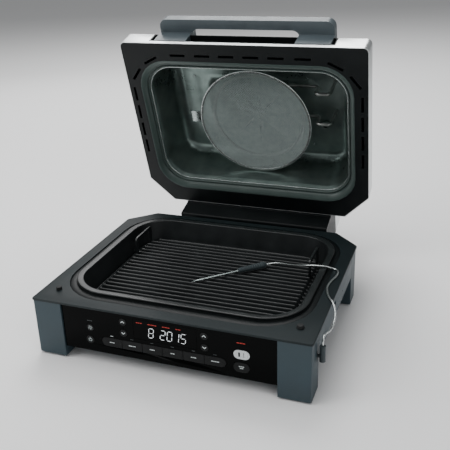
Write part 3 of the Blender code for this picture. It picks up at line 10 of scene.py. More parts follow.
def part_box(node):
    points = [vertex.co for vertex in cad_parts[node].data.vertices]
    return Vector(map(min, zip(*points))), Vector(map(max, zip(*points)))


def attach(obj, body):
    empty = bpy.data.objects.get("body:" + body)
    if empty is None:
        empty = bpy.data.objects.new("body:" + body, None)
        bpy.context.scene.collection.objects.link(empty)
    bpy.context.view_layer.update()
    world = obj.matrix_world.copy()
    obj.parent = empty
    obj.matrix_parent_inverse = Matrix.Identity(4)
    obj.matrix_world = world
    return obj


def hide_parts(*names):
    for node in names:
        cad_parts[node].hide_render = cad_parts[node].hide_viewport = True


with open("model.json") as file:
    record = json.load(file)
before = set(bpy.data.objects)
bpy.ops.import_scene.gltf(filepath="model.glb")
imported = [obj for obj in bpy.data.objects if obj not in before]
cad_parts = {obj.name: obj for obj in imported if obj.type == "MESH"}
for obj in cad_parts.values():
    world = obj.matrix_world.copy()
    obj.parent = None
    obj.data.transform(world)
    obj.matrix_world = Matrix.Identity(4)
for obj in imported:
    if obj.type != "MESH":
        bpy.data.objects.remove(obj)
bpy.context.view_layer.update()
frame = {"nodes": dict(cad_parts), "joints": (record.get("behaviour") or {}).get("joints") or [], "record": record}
print("frame loaded")

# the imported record's names: which body and which finish each part has
bodyOf = {node: body for body, nodes in frame["record"]["behaviour"]["bodies"].items() for node in nodes}
slotOf = {part["node"]: part["material_slot"] for part in frame["record"]["subparts"]}
joints = {joint["name"]: joint for joint in frame["joints"]}

deckLow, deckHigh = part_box("base_deck")
baseY = (deckLow.y + deckHigh.y) / 2  # the middle of the base along Y
deckTop = deckHigh.z
lidPlaces = {"hingeBehind": 0.0354, "hingeBelow": 0.0567}  # from the closed lid's rear edge to the hinge
hingePlace = joints["lid_hinge"]["pos_m"]
openAngle = math.radians(joints["lid_hinge"]["range_deg"][1])


# from the base's own middle to the row frame: a shift along Y
def onBase(points):
    return np.asarray(points, float) + np.array([0, baseY, 0])


# from the lid's own (across, minus the way out to its front edge, height inside it) to the row
# frame with the lid open: a turn about the hinge by the open angle
def onLid(points):
    points = np.asarray(points, float)
    out, up = points[..., 1] - lidPlaces["hingeBehind"], points[..., 2] + lidPlaces["hingeBelow"]
    cosine, sine = math.cos(openAngle), math.sin(openAngle)
    y, z = hingePlace[1] + out * cosine + up * sine, hingePlace[2] - out * sine + up * cosine
    return np.stack([points[..., 0], y, z], -1)


# the same turn back, for reading a lid part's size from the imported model
def lidBox(node):
    mesh = frame["nodes"][node].data
    points = np.empty(len(mesh.vertices) * 3)
    mesh.vertices.foreach_get("co", points)
    points = points.reshape(-1, 3)
    cosine, sine = math.cos(openAngle), math.sin(openAngle)
    along, high = points[:, 1] - hingePlace[1], points[:, 2] - hingePlace[2]
    out = along * cosine - high * sine + lidPlaces["hingeBehind"]
    up = along * sine + high * cosine - lidPlaces["hingeBelow"]
    local = np.stack([points[:, 0], out, up], -1)
    return local.min(0), local.max(0)


cameraValues = {
    "place": (0.39505, -1.07821, 0.61693),
    "azimuth": 21.13,
    "elevation": 22.76,
    "roll": -2.09,
    "lens": 56.5,
    "sensor": 36.0,
    "shift": (0.0147, -0.0127),
}


# the camera looks back along a direction given by its azimuth and elevation, and leans by its roll
def makeCamera(values):
    azimuth, elevation, roll = (math.radians(values[name]) for name in ("azimuth", "elevation", "roll"))
    level = math.cos(elevation)
    back = Vector((math.sin(azimuth) * level, -math.cos(azimuth) * level, math.sin(elevation)))
    right = Vector((math.cos(azimuth), math.sin(azimuth), 0))
    up = back.cross(right)
    across = math.cos(roll) * right + math.sin(roll) * up
    upright = -math.sin(roll) * right + math.cos(roll) * up
    data = bpy.data.cameras.new("camera")
    data.lens, data.sensor_width = values["lens"], values["sensor"]
    data.shift_x, data.shift_y = values["shift"]
    data.clip_start, data.clip_end = 0.05, 50
    camera = bpy.data.objects.new("camera", data)
    turn = Matrix((across, upright, back)).transposed().to_4x4()
    camera.matrix_world = Matrix.Translation(values["place"]) @ turn
    bpy.context.scene.collection.objects.link(camera)
    bpy.context.scene.camera = camera


makeCamera(cameraValues)
print("camera set")


# an sRGB hex colour as linear light
def linear(code):
    channels = np.array([int(code[i : i + 2], 16) / 255 for i in (0, 2, 4)])
    return (*np.where(channels <= 0.04045, channels / 12.92, ((channels + 0.055) / 1.055) ** 2.4), 1.0)


# one node, with its settings, its sockets' values and what is linked into it
def addNode(tree, kind, settings, links=()):
    node = tree.nodes.new("ShaderNode" + kind)
    for name, value in settings.items():
        if isinstance(name, int) or name in node.inputs:
            node.inputs[name].default_value = value
        else:
            setattr(node, name, value)
    for name, socket in dict(links).items():
        tree.links.new(socket, node.inputs[name])
    return node


# A finish: a cloud of slow change moves its colour and roughness, and a fine grain gives its bump.
# Sizes are in millimetres. A stretch above 1 along an axis packs the pattern along it.
def makeFinish(name, values):
    material = bpy.data.materials.new(name)
    material.use_nodes = True
    tree = material.node_tree
    tree.nodes.clear()
    place = addNode(tree, "TexCoord", {}).outputs["UV" if "alongUv" in values else "Object"]
    stretched = addNode(tree, "Mapping", {"Scale": values.get("stretch", (1, 1, 1))}, {"Vector": place})
    pattern = stretched.outputs[0]
    if "sideStretch" in values:
        # faces that look along X take their own stretch, so that a streak never shows end on
        beside = addNode(tree, "Mapping", {"Scale": values["sideStretch"]}, {"Vector": place})
        facing = addNode(tree, "TexCoord", {}).outputs["Normal"]
        across = addNode(tree, "SeparateXYZ", {}, {"Vector": facing}).outputs[0]
        size = addNode(tree, "Math", {"operation": "ABSOLUTE"}, {0: across})
        limit = {"operation": "GREATER_THAN", 1: values["sideFrom"]}
        isSide = addNode(tree, "Math", limit, {0: size.outputs[0]})
        links = {0: isSide.outputs[0], 4: pattern, 5: beside.outputs[0]}
        pattern = addNode(tree, "Mix", {"data_type": "VECTOR"}, links).outputs[1]
    cloud = addNode(tree, "TexNoise", {"Scale": 1000 / values["cloudMm"], "Detail": 4.0, "Roughness": 0.55},
                    {"Vector": pattern})
    spread = addNode(tree, "MapRange", {"From Min": 0.32, "From Max": 0.68}, {"Value": cloud.outputs[0]})
    colours = {"data_type": "RGBA", 6: linear(values["colour"]), 7: linear(values["second"])}
    colour = addNode(tree, "Mix", colours, {0: spread.outputs[0]})
    smoothest, roughest = values["roughness"]
    rough = addNode(tree, "MapRange", {"To Min": smoothest, "To Max": roughest}, {"Value": spread.outputs[0]})
    grain = addNode(tree, "TexNoise", {"Scale": 1000 / values["grainMm"], "Detail": 2.0, "Roughness": 0.5},
                    {"Vector": pattern})
    relief = {"Strength": values.get("grainStrength", 0.35), "Distance": values["grainDepthMm"] / 1000}
    bump = addNode(tree, "Bump", relief, {"Height": grain.outputs[0]})
    metal = {"Metallic": values.get("metallic", 0.0), "IOR": values.get("ior", 1.5)}
    links = {"Base Color": colour.outputs[2], "Roughness": rough.outputs[0], "Normal": bump.outputs[0]}
    shader = addNode(tree, "BsdfPrincipled", metal, links)
    for socket, value in values.get("more", {}).items():
        shader.inputs[socket].default_value = value
    if "glow" in values:
        shader.inputs["Emission Color"].default_value = linear(values["glow"][0])
        shader.inputs["Emission Strength"].default_value = values["glow"][1]
    addNode(tree, "OutputMaterial", {}, {"Surface": shader.outputs[0]})
    return {"material": material, "tree": tree, "bump": bump, "colour": colour}


finishValues = {
    # sheet steel under a fine dark powder coat: soft, slightly pebbled sheen
    "powderCoatedSteel": {
        "colour": "171f21", "second": "1c2527", "cloudMm": 60, "roughness": (0.44, 0.52),
        "grainMm": 1.1, "grainDepthMm": 0.05, "ior": 1.52, "more": {"Specular IOR Level": 0.18},
    },
    # injection-moulded ABS with a spark-eroded grain: even, matt slate
    "mouldedAbs": {
        "colour": "27383f", "second": "2c3e46", "cloudMm": 45, "roughness": (0.46, 0.54),
        "grainMm": 0.9, "grainDepthMm": 0.06, "ior": 1.53, "more": {"Specular IOR Level": 0.4},
    },
    # black printed polycarbonate: a deep mirror-like gloss with hardly any ripple
    "glossPolycarbonate": {
        "colour": "020303", "second": "040505", "cloudMm": 80, "roughness": (0.10, 0.13),
        "grainMm": 6.0, "grainDepthMm": 0.01, "grainStrength": 0.1, "ior": 1.58,
        "more": {"Specular IOR Level": 0.04},
    },
    # dark touch keys of satin polycarbonate: slightly lighter than the panel
    "satinKey": {
        "colour": "090b0c", "second": "0e1011", "cloudMm": 9, "roughness": (0.26, 0.32),
        "grainMm": 0.5, "grainDepthMm": 0.02, "ior": 1.55, "more": {"Specular IOR Level": 0.16},
    },
    # silver metallic paint on a key: fine sparkle of the flake
    "silverPaint": {
        "colour": "b9bfc0", "second": "cdd2d2", "cloudMm": 0.8, "roughness": (0.24, 0.34),
        "grainMm": 0.35, "grainDepthMm": 0.02, "metallic": 0.75, "more": {"Coat Weight": 0.4},
    },
    # moulded black plastic with a satin face
    "satinBlackAbs": {
        "colour": "0b0f10", "second": "0f1415", "cloudMm": 40, "roughness": (0.40, 0.50),
        "grainMm": 0.9, "grainDepthMm": 0.05, "ior": 1.53, "more": {"Specular IOR Level": 0.2},
    },
    # moulded rubber: matt and a little dusty
    "mouldedRubber": {
        "colour": "0f1112", "second": "171a1b", "cloudMm": 12, "roughness": (0.72, 0.85),
        "grainMm": 0.6, "grainDepthMm": 0.08, "ior": 1.52,
    },
    # cast aluminium under a nonstick coat: near black, soft sheen, fine cast pebbling
    "nonstickCoat": {
        "colour": "16191a", "second": "1e2223", "cloudMm": 30, "roughness": (0.30, 0.40),
        "grainMm": 1.3, "grainDepthMm": 0.07, "ior": 1.45,
        "more": {"Coat Weight": 0.15, "Coat Roughness": 0.3},
    },
    # pressed aluminised steel, cloudy from the press and heat, with blurry reflections
    "pressedSteel": {
        "colour": "6c7a76", "second": "98a6a2", "cloudMm": 70, "roughness": (0.26, 0.36),
        "grainMm": 2.5, "grainDepthMm": 0.04, "metallic": 0.92,
    },
    # drawn stainless wire and turned steel: bright with small sharp glints
    "drawnSteel": {
        "colour": "98a3a1", "second": "b2bcba", "cloudMm": 6, "roughness": (0.22, 0.32),
        "grainMm": 0.8, "grainDepthMm": 0.02, "metallic": 1.0,
    },
    # woven stainless wire, dulled by heat and washing: no sharp glints
    "wovenWire": {
        "colour": "98a3a1", "second": "aab4b2", "cloudMm": 9, "roughness": (0.42, 0.52),
        "grainMm": 0.8, "grainDepthMm": 0.02, "metallic": 0.9,
    },
    # a rolled stainless rim, polished: brighter than the wire it holds
    "brightRim": {
        "colour": "c2cac8", "second": "d6dcda", "cloudMm": 12, "roughness": (0.20, 0.28),
        "grainMm": 1.2, "grainDepthMm": 0.02, "metallic": 0.9,
    },
    # stainless sheet brushed from side to side: fine streaks along X
    "brushedStainless": {
        "colour": "d6dada", "second": "ebeeee", "cloudMm": 3.0, "roughness": (0.26, 0.38),
        "grainMm": 0.9, "grainDepthMm": 0.05, "grainStrength": 0.25, "metallic": 1.0, "stretch": (0.02, 1, 1),
        "sideStretch": (1, 1, 0.02), "sideFrom": 0.6,
    },
    # heater tube of oxidised nickel alloy: grey-brown and dry
    "oxidisedSheath": {
        "colour": "3b3a38", "second": "5a5652", "cloudMm": 14, "roughness": (0.40, 0.58),
        "grainMm": 0.8, "grainDepthMm": 0.05, "metallic": 0.8,
    },
    # the upper element's sheath, of bright steel that heat has barely tinted
    "heatedSteel": {
        "colour": "6f716f", "second": "8c8f8c", "cloudMm": 18, "roughness": (0.28, 0.40),
        "grainMm": 0.8, "grainDepthMm": 0.03, "metallic": 0.95,
    },
    # moulded silicone: soft, slightly waxy grey-green
    "siliconeSeal": {
        "colour": "3a4845", "second": "43514d", "cloudMm": 35, "roughness": (0.30, 0.38),
        "grainMm": 1.5, "grainDepthMm": 0.03, "ior": 1.43, "more": {"Sheen Weight": 0.15},
    },
    # glass-filled nylon handle: dark slate with a hand-worn satin face
    "handleNylon": {
        "colour": "465055", "second": "505b60", "cloudMm": 30, "roughness": (0.36, 0.46),
        "grainMm": 0.8, "grainDepthMm": 0.04, "ior": 1.53,
    },
    # over-moulded silicone of the probe's grip and plug
    "gripSilicone": {
        "colour": "232f33", "second": "2b383c", "cloudMm": 10, "roughness": (0.48, 0.58),
        "grainMm": 0.5, "grainDepthMm": 0.04, "ior": 1.43, "more": {"Sheen Weight": 0.2},
    },
    # glass-epoxy board under green solder mask
    "solderMask": {
        "colour": "173d26", "second": "1f4a30", "cloudMm": 5, "roughness": (0.30, 0.45),
        "grainMm": 0.7, "grainDepthMm": 0.03, "ior": 1.55,
    },
    # white printing ink, lit faintly from behind
    "whiteInk": {
        "colour": "b4bcbc", "second": "c4cccc", "cloudMm": 4, "roughness": (0.45, 0.55),
        "grainMm": 0.4, "grainDepthMm": 0.01, "glow": ("d8e0e0", 0.2),
    },
    # the lit segments of a white light-emitting display
    "displayLight": {
        "colour": "e6ecee", "second": "f2f6f8", "cloudMm": 4, "roughness": (0.4, 0.5),
        "grainMm": 0.4, "grainDepthMm": 0.01, "glow": ("eef4f8", 1.0),
    },
    # the same ink with no light behind it: a faint grey print
    "dimInk": {
        "colour": "3c4243", "second": "464d4e", "cloudMm": 4, "roughness": (0.45, 0.55),
        "grainMm": 0.4, "grainDepthMm": 0.01,
    },
    # small red indicator lights
    "redLight": {
        "colour": "8c2018", "second": "a42a20", "cloudMm": 4, "roughness": (0.4, 0.5),
        "grainMm": 0.4, "grainDepthMm": 0.01, "glow": ("d83a28", 0.4),
    },
    # black and dead matt: a printed mark on the preset key, and painted shade in the liner's probe hole
    "blackPrintAndShade": {
        "colour": "030404", "second": "050606", "cloudMm": 20, "roughness": (0.75, 0.85),
        "grainMm": 0.8, "grainDepthMm": 0.02, "ior": 1.5,
    },
}
finishes = {name: makeFinish(name, values) for name, values in finishValues.items()}

# braided stainless sleeve: two sets of strands that wind opposite ways, on the tube's own UV; their height
# lightens the strands' crests and darkens the grooves between them, as painted highlight and painted shade
braidValues = {
    "colour": "8d9392", "second": "d9dedd", "cloudMm": 900, "roughness": (0.26, 0.34), "grainMm": 250,
    "grainDepthMm": 0.02, "metallic": 1.0, "alongUv": True, "strands": 6.0, "lay": 1.0,
    "band": 0.3142,  # a wave band is 2 pi / 20 of its texture's unit
    "depth": 0.00012,
}
braid = makeFinish("braidedSleeve", braidValues)
strands = []
for way in (1, -1):
    scale = (braidValues["strands"] * braidValues["band"], way * braidValues["lay"] * braidValues["band"], 0)
    threadUv = addNode(braid["tree"], "TexCoord", {}).outputs["UV"]
    turned = addNode(braid["tree"], "Mapping", {"Scale": scale}, {"Vector": threadUv})
    wave = {"bands_direction": "DIAGONAL", "Scale": 1.0}
    strands.append(addNode(braid["tree"], "TexWave", wave, {0: turned.outputs[0]}).outputs[1])
crossing = addNode(braid["tree"], "Math", {"operation": "MAXIMUM"}, dict(enumerate(strands))).outputs[0]
# the strands' height drives both the bump and the colour: painted shade in the grooves between strands, painted
# highlight on their crests
for socket in (braid["bump"].inputs["Height"], braid["colour"].inputs[0]):
    braid["tree"].links.new(crossing, socket)
braid["bump"].inputs["Distance"].default_value = braidValues["depth"]
finishes["braidedSleeve"] = braid

finishOfSlot = {
    "deck_coat": "powderCoatedSteel", "body_plastic": "mouldedAbs", "gloss_black": "glossPolycarbonate",
    "key_plastic": "satinKey", "silver_paint": "silverPaint", "satin_black": "satinBlackAbs",
    "rubber": "mouldedRubber", "nonstick": "nonstickCoat", "heater_grey": "oxidisedSheath",
    "dull_steel": "pressedSteel", "bright_steel": "drawnSteel", "brushed_steel": "brushedStainless",
    "gasket_grey": "siliconeSeal", "handle_plastic": "handleNylon", "grip_rubber": "gripSilicone",
    "braid": "braidedSleeve", "board": "solderMask",
}
print("finishes made")


# a finished piece from points and faces: turned outwards, smoothed, riding on its body
def addPiece(name, points, faces, finish, body, slot, smooth=40, bevelMm=0.0, replaced=(), uv=None):
    mesh = bpy.data.meshes.new(name)
    mesh.from_pydata(np.asarray(points).reshape(-1, 3).tolist(), [], [list(face) for face in faces])
    if uv is not None:
        layer = mesh.uv_layers.new(name="UVMap")
        layer.data.foreach_set("uv", np.asarray(uv, np.float32).ravel())
    form = bmesh.new()
    form.from_mesh(mesh)
    bmesh.ops.recalc_face_normals(form, faces=form.faces)
    form.to_mesh(mesh)
    form.free()
    return finishPiece(name, mesh, finish, body, smooth, bevelMm, replaced)


# the rest of a piece's making: its finish, soft or sharp edges, rounding and body
def finishPiece(name, mesh, finish, body, smooth, bevelMm, replaced, segments=2):
    piece = bpy.data.objects.new(name, mesh)
    bpy.context.scene.collection.objects.link(piece)
    mesh.materials.clear()
    mesh.materials.append(finishes[finish]["material"])
    mesh.shade_smooth()
    mesh.set_sharp_from_angle(angle=math.radians(smooth))
    if bevelMm:
        bevel = piece.modifiers.new("edges", "BEVEL")
        bevel.width = bevelMm / 1000
        bevel.segments = segments
        bevel.limit_method = "ANGLE"
        bevel.angle_limit = math.radians(smooth)
        bevel.harden_normals = True
    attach(piece, body)
    if replaced:
        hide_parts(*replaced)
    return piece


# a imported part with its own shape, merged, its flat faces made whole and its edges rounded
def refine(node, bevelMm=0.5, smooth=38, finish=None, segments=2):
    form = bmesh.new()
    form.from_mesh(frame["nodes"][node].data)
    bmesh.ops.remove_doubles(form, verts=form.verts, dist=0.00002)
    bmesh.ops.dissolve_limit(form, angle_limit=math.radians(0.5), verts=form.verts, edges=form.edges)
    mesh = bpy.data.meshes.new("fine_" + node)
    form.to_mesh(mesh)
    form.free()
    look = finish or finishOfSlot[slotOf[node]]
    return finishPiece(
        "fine_" + node, mesh, look, bodyOf[node], smooth, bevelMm, [node], segments
    )


# faces between a grid's rows and columns, each of which may close on itself
def gridFaces(rows, columns, closedRows=False, closedColumns=True):
    row = np.arange(rows if closedRows else rows - 1)[:, None]
    column = np.arange(columns if closedColumns else columns - 1)[None, :]
    below, beside = (row + 1) % rows, (column + 1) % columns
    here, under = row * columns, below * columns
    corners = [here + column, here + beside, under + beside, under + column]
    return np.stack(np.broadcast_arrays(*corners), -1).reshape(-1, 4)


# a grid of points as one closed skin: round on itself, or with its first and last rows capped
def addSkin(name, grid, finish, body, slot, closedRows=False, **how):
    rows, columns = grid.shape[:2]
    faces = gridFaces(rows, columns, closedRows).tolist()
    if not closedRows:
        faces.append(list(range(columns)))
        faces.append(list(range((rows - 1) * columns, rows * columns)))
    return addPiece(name, grid, faces, finish, body, slot, **how)


# a polyline whose corners are each turned on their own radius: an arc that touches both sides,
# taken between its two ends by equal angles
def turnCorners(corners, radii, steps):
    corners = np.asarray(corners, float)
    runs = []
    for index, radius in enumerate(radii):
        here = corners[index]
        if radius <= 0:
            runs.append(here[None])
            continue
        before, after = corners[index - 1] - here, corners[(index + 1) % len(corners)] - here
        before, after = before / np.linalg.norm(before), after / np.linalg.norm(after)
        half = math.acos(float(np.clip(before @ after, -1, 1))) / 2
        centre = here + (before + after) / np.linalg.norm(before + after) * radius / math.sin(half)
        first = here + before * radius / math.tan(half) - centre
        last = here + after * radius / math.tan(half) - centre
        turn = math.pi - 2 * half
        share = np.linspace(0, 1, steps + 1)[:, None]
        arc = np.sin((1 - share) * turn) * first + np.sin(share * turn) * last
        runs.append(centre + arc / math.sin(turn))
    return np.concatenate(runs)


def roundedRectangle(left, right, low, high, radius, steps=16):
    corners = [(left, low), (right, low), (right, high), (left, high)]
    return turnCorners(corners, [max(radius, 0.001)] * 4, steps)


# a rounded rectangle from a piece's values, as a function of how far inside it the outline runs
def outlineOf(values, steps=16):
    def outline(inset):
        half = values["halfWidth"] - inset
        low, high = values["front"] + inset, values["rear"] - inset
        return roundedRectangle(-half, half, low, high, values["radius"] - inset, steps)

    return outline


# rings of one outline, each at its own inset and height
def ringsOf(outline, profile):
    rings = []
    for inset, height in profile:
        ring = outline(inset)
        rings.append(np.column_stack([ring, np.full(len(ring), height)]))
    return np.stack(rings)


# a profile of (radius, height) turned about an axis through a centre: cosine and sine of the turn
def latheGrid(profile, sides=64, centre=(0, 0)):
    profile = np.asarray(profile, float)
    angle = np.linspace(0, 2 * math.pi, sides, endpoint=False)
    x = centre[0] + profile[:, :1] * np.cos(angle)
    y = centre[1] + profile[:, :1] * np.sin(angle)
    return np.stack([x, y, np.broadcast_to(profile[:, 1:], x.shape)], -1)


# a circle of a given radius carried along a path, square to it at each point
def tubeGrid(path, radii, sides, reference):
    along = np.gradient(path, axis=0)
    along /= np.linalg.norm(along, axis=1, keepdims=True)
    first = np.cross(along, reference)
    first /= np.linalg.norm(first, axis=1, keepdims=True)
    second = np.cross(along, first)
    angle = np.linspace(0, 2 * math.pi, sides, endpoint=False)[None, :, None]
    ring = np.cos(angle) * first[:, None] + np.sin(angle) * second[:, None]
    return path[:, None] + np.broadcast_to(np.asarray(radii, float), len(path))[:, None, None] * ring


# the probe: its cable, grip, needle and plug
cableValues = {
    "diameter": 0.003, "step": 0.0015, "sides": 12,
    "lay": 0.004,  # one wind of a strand
    "turnFrom": 0.35, "turnOver": 0.3,  # where its section's reference goes over from up to across
    "knots": (
        (0.0823, 0.0602, 0.0811), (0.0900, 0.0645, 0.0818), (0.1000, 0.0655, 0.0835),
        (0.1130, 0.0600, 0.0865), (0.1270, 0.0520, 0.0905), (0.1410, 0.0435, 0.0955),
        (0.1540, 0.0370, 0.1005), (0.1660, 0.0340, 0.1033), (0.1770, 0.0338, 0.1043),
        (0.1865, 0.0350, 0.1042), (0.1905, 0.0363, 0.1034), (0.1960, 0.0383, 0.1013),
        (0.2015, 0.0386, 0.1001), (0.2070, 0.0350, 0.0999), (0.2096, 0.0272, 0.0999),
        (0.2092, 0.0150, 0.0999), (0.2055, -0.0015, 0.0999), (0.2035, -0.0225, 0.0999),
        (0.2088, -0.0450, 0.0999), (0.2150, -0.0585, 0.1002), (0.2210, -0.0680, 0.1003),
        (0.2255, -0.0745, 0.0965), (0.2283, -0.0820, 0.0903), (0.2296, -0.0925, 0.0850),
        (0.2295, -0.1050, 0.0826), (0.2284, -0.1190, 0.0834), (0.2268, -0.1320, 0.0870),
        (0.2258, -0.1425, 0.0893), (0.2255, -0.1487, 0.0860), (0.2255, -0.1500, 0.0815),
        (0.2255, -0.1500, 0.0773),
    ),
}


# points at equal steps on the Catmull-Rom curve through the knots
def smoothRoute(knots, step):
    knots = np.asarray(knots, float)
    ends = np.vstack([2 * knots[:1] - knots[1:2], knots, 2 * knots[-1:] - knots[-2:-1]])
    a, b, c, d = (ends[i : len(ends) - 3 + i, None] for i in range(4))
    t = np.linspace(0, 1, 40, endpoint=False)[None, :, None]
    fine = 0.5 * (2 * b + (c - a) * t + (2 * a - 5 * b + 4 * c - d) * t**2 + (3 * b - a - 3 * c + d) * t**3)
    fine = np.vstack([fine.reshape(-1, 3), knots[-1:]])
    along = np.concatenate([[0], np.cumsum(np.linalg.norm(np.diff(fine, axis=0), axis=1))])
    even = np.linspace(0, along[-1], int(round(along[-1] / step)) + 1)
    return np.stack([np.interp(even, along, fine[:, axis]) for axis in range(3)], -1)


cablePath = onBase(smoothRoute(cableValues["knots"], cableValues["step"]))
share = np.linspace(0, 1, len(cablePath))[:, None]
blendIn = np.clip((share - cableValues["turnFrom"]) / cableValues["turnOver"], 0, 1)
cableReference = (1 - blendIn) * np.array([0, 0, 1.0]) + blendIn * np.array([1.0, 0, 0])
cableGrid = tubeGrid(cablePath, cableValues["diameter"] / 2, cableValues["sides"], cableReference)
cableRows, cableColumns = cableGrid.shape[:2]
cableFaces = gridFaces(cableRows, cableColumns)
row, column = np.divmod(np.arange((cableRows - 1) * cableColumns), cableColumns)
strandLay = cableValues["step"] / cableValues["lay"]
corners = ((0, 0), (1, 0), (1, 1), (0, 1))
cableUv = np.stack([
    np.stack([(column + right) / cableColumns, (row + down) * strandLay], -1) for right, down in corners
], 1).reshape(-1, 2)
capUv = np.zeros((2 * cableColumns, 2))
cablePoints = cableRows * cableColumns
caps = [list(range(cableColumns)), list(range(cablePoints - cableColumns, cablePoints))]
cable = addPiece("probe_cable_braided", cableGrid, cableFaces.tolist() + caps, "braidedSleeve", "base",
                 "braid", replaced=["probe_cable"], uv=np.vstack([cableUv, capUv]))

gripValues = {
    "rear": (0.0815, 0.0595, 0.0810),
    "front": (0.0425, 0.0265, 0.0796),
    "tip": (-0.0200, -0.0264, 0.0762),
    "radius": 0.0062, "frontRadius": 0.0044, "needleRadius": 0.0016, "collarRadius": 0.0025,
    "collarEnd": 0.0305, "sides": 32, "needleSides": 24,
    "tail": 0.14, "tailCut": 0.52,  # the tail's share of the length, and how much thinner its end is
    "nose": 0.965, "noseLength": 0.036,
    "ribs": 5, "ribsFrom": 0.18, "ribsTo": 0.58, "ribDepth": 0.00035,
    "taperFrom": 0.86, "taperLength": 0.145,  # the needle's point, as shares of its length
}


# a turned piece on a line between two points: a profile of (share of the line, radius)
def spindleGrid(start, end, profile, sides):
    profile = np.asarray(profile, float)
    start, end = np.asarray(start, float), np.asarray(end, float)
    along = end - start
    path = start + profile[:, :1] * along
    direction = along / np.linalg.norm(along)
    first = np.cross(direction, [0, 0, 1.0])
    first /= np.linalg.norm(first)
    second = np.cross(direction, first)
    angle = np.linspace(0, 2 * math.pi, sides, endpoint=False)[None, :, None]
    ring = np.cos(angle) * first + np.sin(angle) * second
    return path[:, None] + profile[:, 1][:, None, None] * ring


# the grip swells from its tail, carries ribs on its rear half and narrows to the needle
place = np.linspace(0, 1, 90)
swell = gripValues["radius"] - (gripValues["radius"] - gripValues["frontRadius"]) * place
swell = swell * np.clip(1 - (1 - place / gripValues["tail"]).clip(0) ** 2 * gripValues["tailCut"], 0, 1)
toNose = ((place - gripValues["nose"]) / gripValues["noseLength"]).clip(0)
swell = swell * np.sqrt(np.clip(1 - toNose**2, 0.25, 1))
ribsFrom, ribsTo = gripValues["ribsFrom"], gripValues["ribsTo"]
ribbed = ((place > ribsFrom) & (place < ribsTo)).astype(float)
ribTurn = (place - ribsFrom) / (ribsTo - ribsFrom) * gripValues["ribs"]
swell = swell - gripValues["ribDepth"] * ribbed * (1 - np.cos(ribTurn * 2 * math.pi)) / 2
gripRear, gripFront, needleTip = (onBase(gripValues[name]) for name in ("rear", "front", "tip"))
gripGrid = spindleGrid(gripRear, gripFront, np.stack([place, swell], -1), gripValues["sides"])
grip = addSkin("probe_grip_ribbed", gripGrid, "gripSilicone", "base", "grip_rubber", replaced=["probe_grip"])

# the needle: a short collar, a plain shank and a ground point
place = np.concatenate([
    [0.005, 0.006, 0.03, 0.031], np.linspace(0.04, 0.86, 12), np.linspace(0.87, 0.999, 14)
])
shank = gripValues["needleRadius"]
radius = np.where(place < gripValues["collarEnd"], gripValues["collarRadius"], shank)
point = shank * (1 - (place - gripValues["taperFrom"]) / gripValues["taperLength"])
radius = np.where(place > gripValues["taperFrom"], point, radius)
needleGrid = spindleGrid(gripFront, needleTip, np.stack([place, radius], -1), gripValues["needleSides"])
addSkin("probe_needle_ground", needleGrid, "drawnSteel", "base", "bright_steel", replaced=["probe_needle"])
plug = refine("probe_plug", bevelMm=1.2, smooth=50, segments=4)
print("probe made")


# the pot, its trim ring and the grate
potValues = {
    "halfWidth": 0.190, "front": -0.146, "rear": 0.158, "radius": 0.068,
    "rimTop": 0.102, "rimUnder": 0.0988, "rimWidth": 0.0085, "bottom": 0.046, "wall": 0.0016,
    "flat": 0.0500, "foot": 0.0185, "footUnder": 0.0172, "rimDrop": 0.0004,
}
wellValues = {"halfWidth": 0.200, "front": -0.162, "rear": 0.170, "radius": 0.080}
potOutline, wellOutline = outlineOf(potValues), outlineOf(wellValues)


# the pot's section, from the middle of its floor up the wall and over the rim to the outside
def potProfile():
    top, under, rim = potValues["rimTop"], potValues["rimUnder"], potValues["rimWidth"]
    bottom, wall, flat = potValues["bottom"], potValues["wall"], potValues["flat"]
    corners = [
        (flat, bottom + wall), (potValues["foot"], bottom + wall), (rim + wall, top - potValues["rimDrop"]),
        (0.0, top), (0.0, under), (rim, under), (potValues["footUnder"], bottom), (flat, bottom),
    ]
    return turnCorners(corners, [0, 0.011, 0.0016, 0.0014, 0.0010, 0.0008, 0.010, 0], 8)


addSkin("cooking_pot_coated", onBase(ringsOf(potOutline, potProfile())), "nonstickCoat", "base", "nonstick",
        smooth=60, replaced=["cooking_pot"])

gap = 0.0003  # what touching pieces keep between them
trimValues = {
    "sink": 0.0012, "skirt": 0.0048,  # how far its top and its foot lie below the deck
    "ledge": 0.0065, "edge": 0.0006, "lip": (0.0022, 0.0012), "lipDrop": 0.0004,
}
trimTop, trimLow = deckTop - trimValues["sink"], deckTop - trimValues["skirt"]
seat = potValues["rimUnder"] - gap
edge, ledge = trimValues["edge"], trimValues["ledge"]
lipOut, lipIn = trimValues["lip"]
ring = [
    (wellOutline, gap, trimLow), (wellOutline, gap, trimTop - edge), (wellOutline, gap + edge, trimTop),
    (potOutline, -lipOut, trimTop), (potOutline, -lipIn, trimTop - trimValues["lipDrop"]),
    (potOutline, -edge, seat), (potOutline, ledge, seat), (potOutline, ledge, trimLow),
]
trimGrid = np.concatenate([ringsOf(outline, [(inset, height)]) for outline, inset, height in ring])
addSkin("pot_trim_ring_moulded", onBase(trimGrid), "satinBlackAbs", "base", "satin_black", closedRows=True,
        smooth=50, replaced=["pot_trim_ring"])

grateValues = {
    "inset": 0.0185, "bottom": 0.0600, "plate": 0.0045, "crest": 0.0140, "pitch": 0.0120, "width": 0.0046,
    "margin": 0.012, "ridgeSoft": 0.00042, "fadeFrom": 0.0065, "fadeOver": 0.006, "rim": 0.0040,
    "rimHeight": 0.0062, "rimSoft": 0.0005, "edgeDrop": 0.0016, "edgeSoft": 0.0009, "acrossSteps": 220,
    "alongSteps": 420, "handleX": 0.158, "handleFront": 0.050, "handleRear": 0.112, "handleTop": 0.103,
    "handleThick": 0.0035, "handleBar": 0.0060, "handleSink": 0.001, "handleTurns": (0.003, 0.007),
}


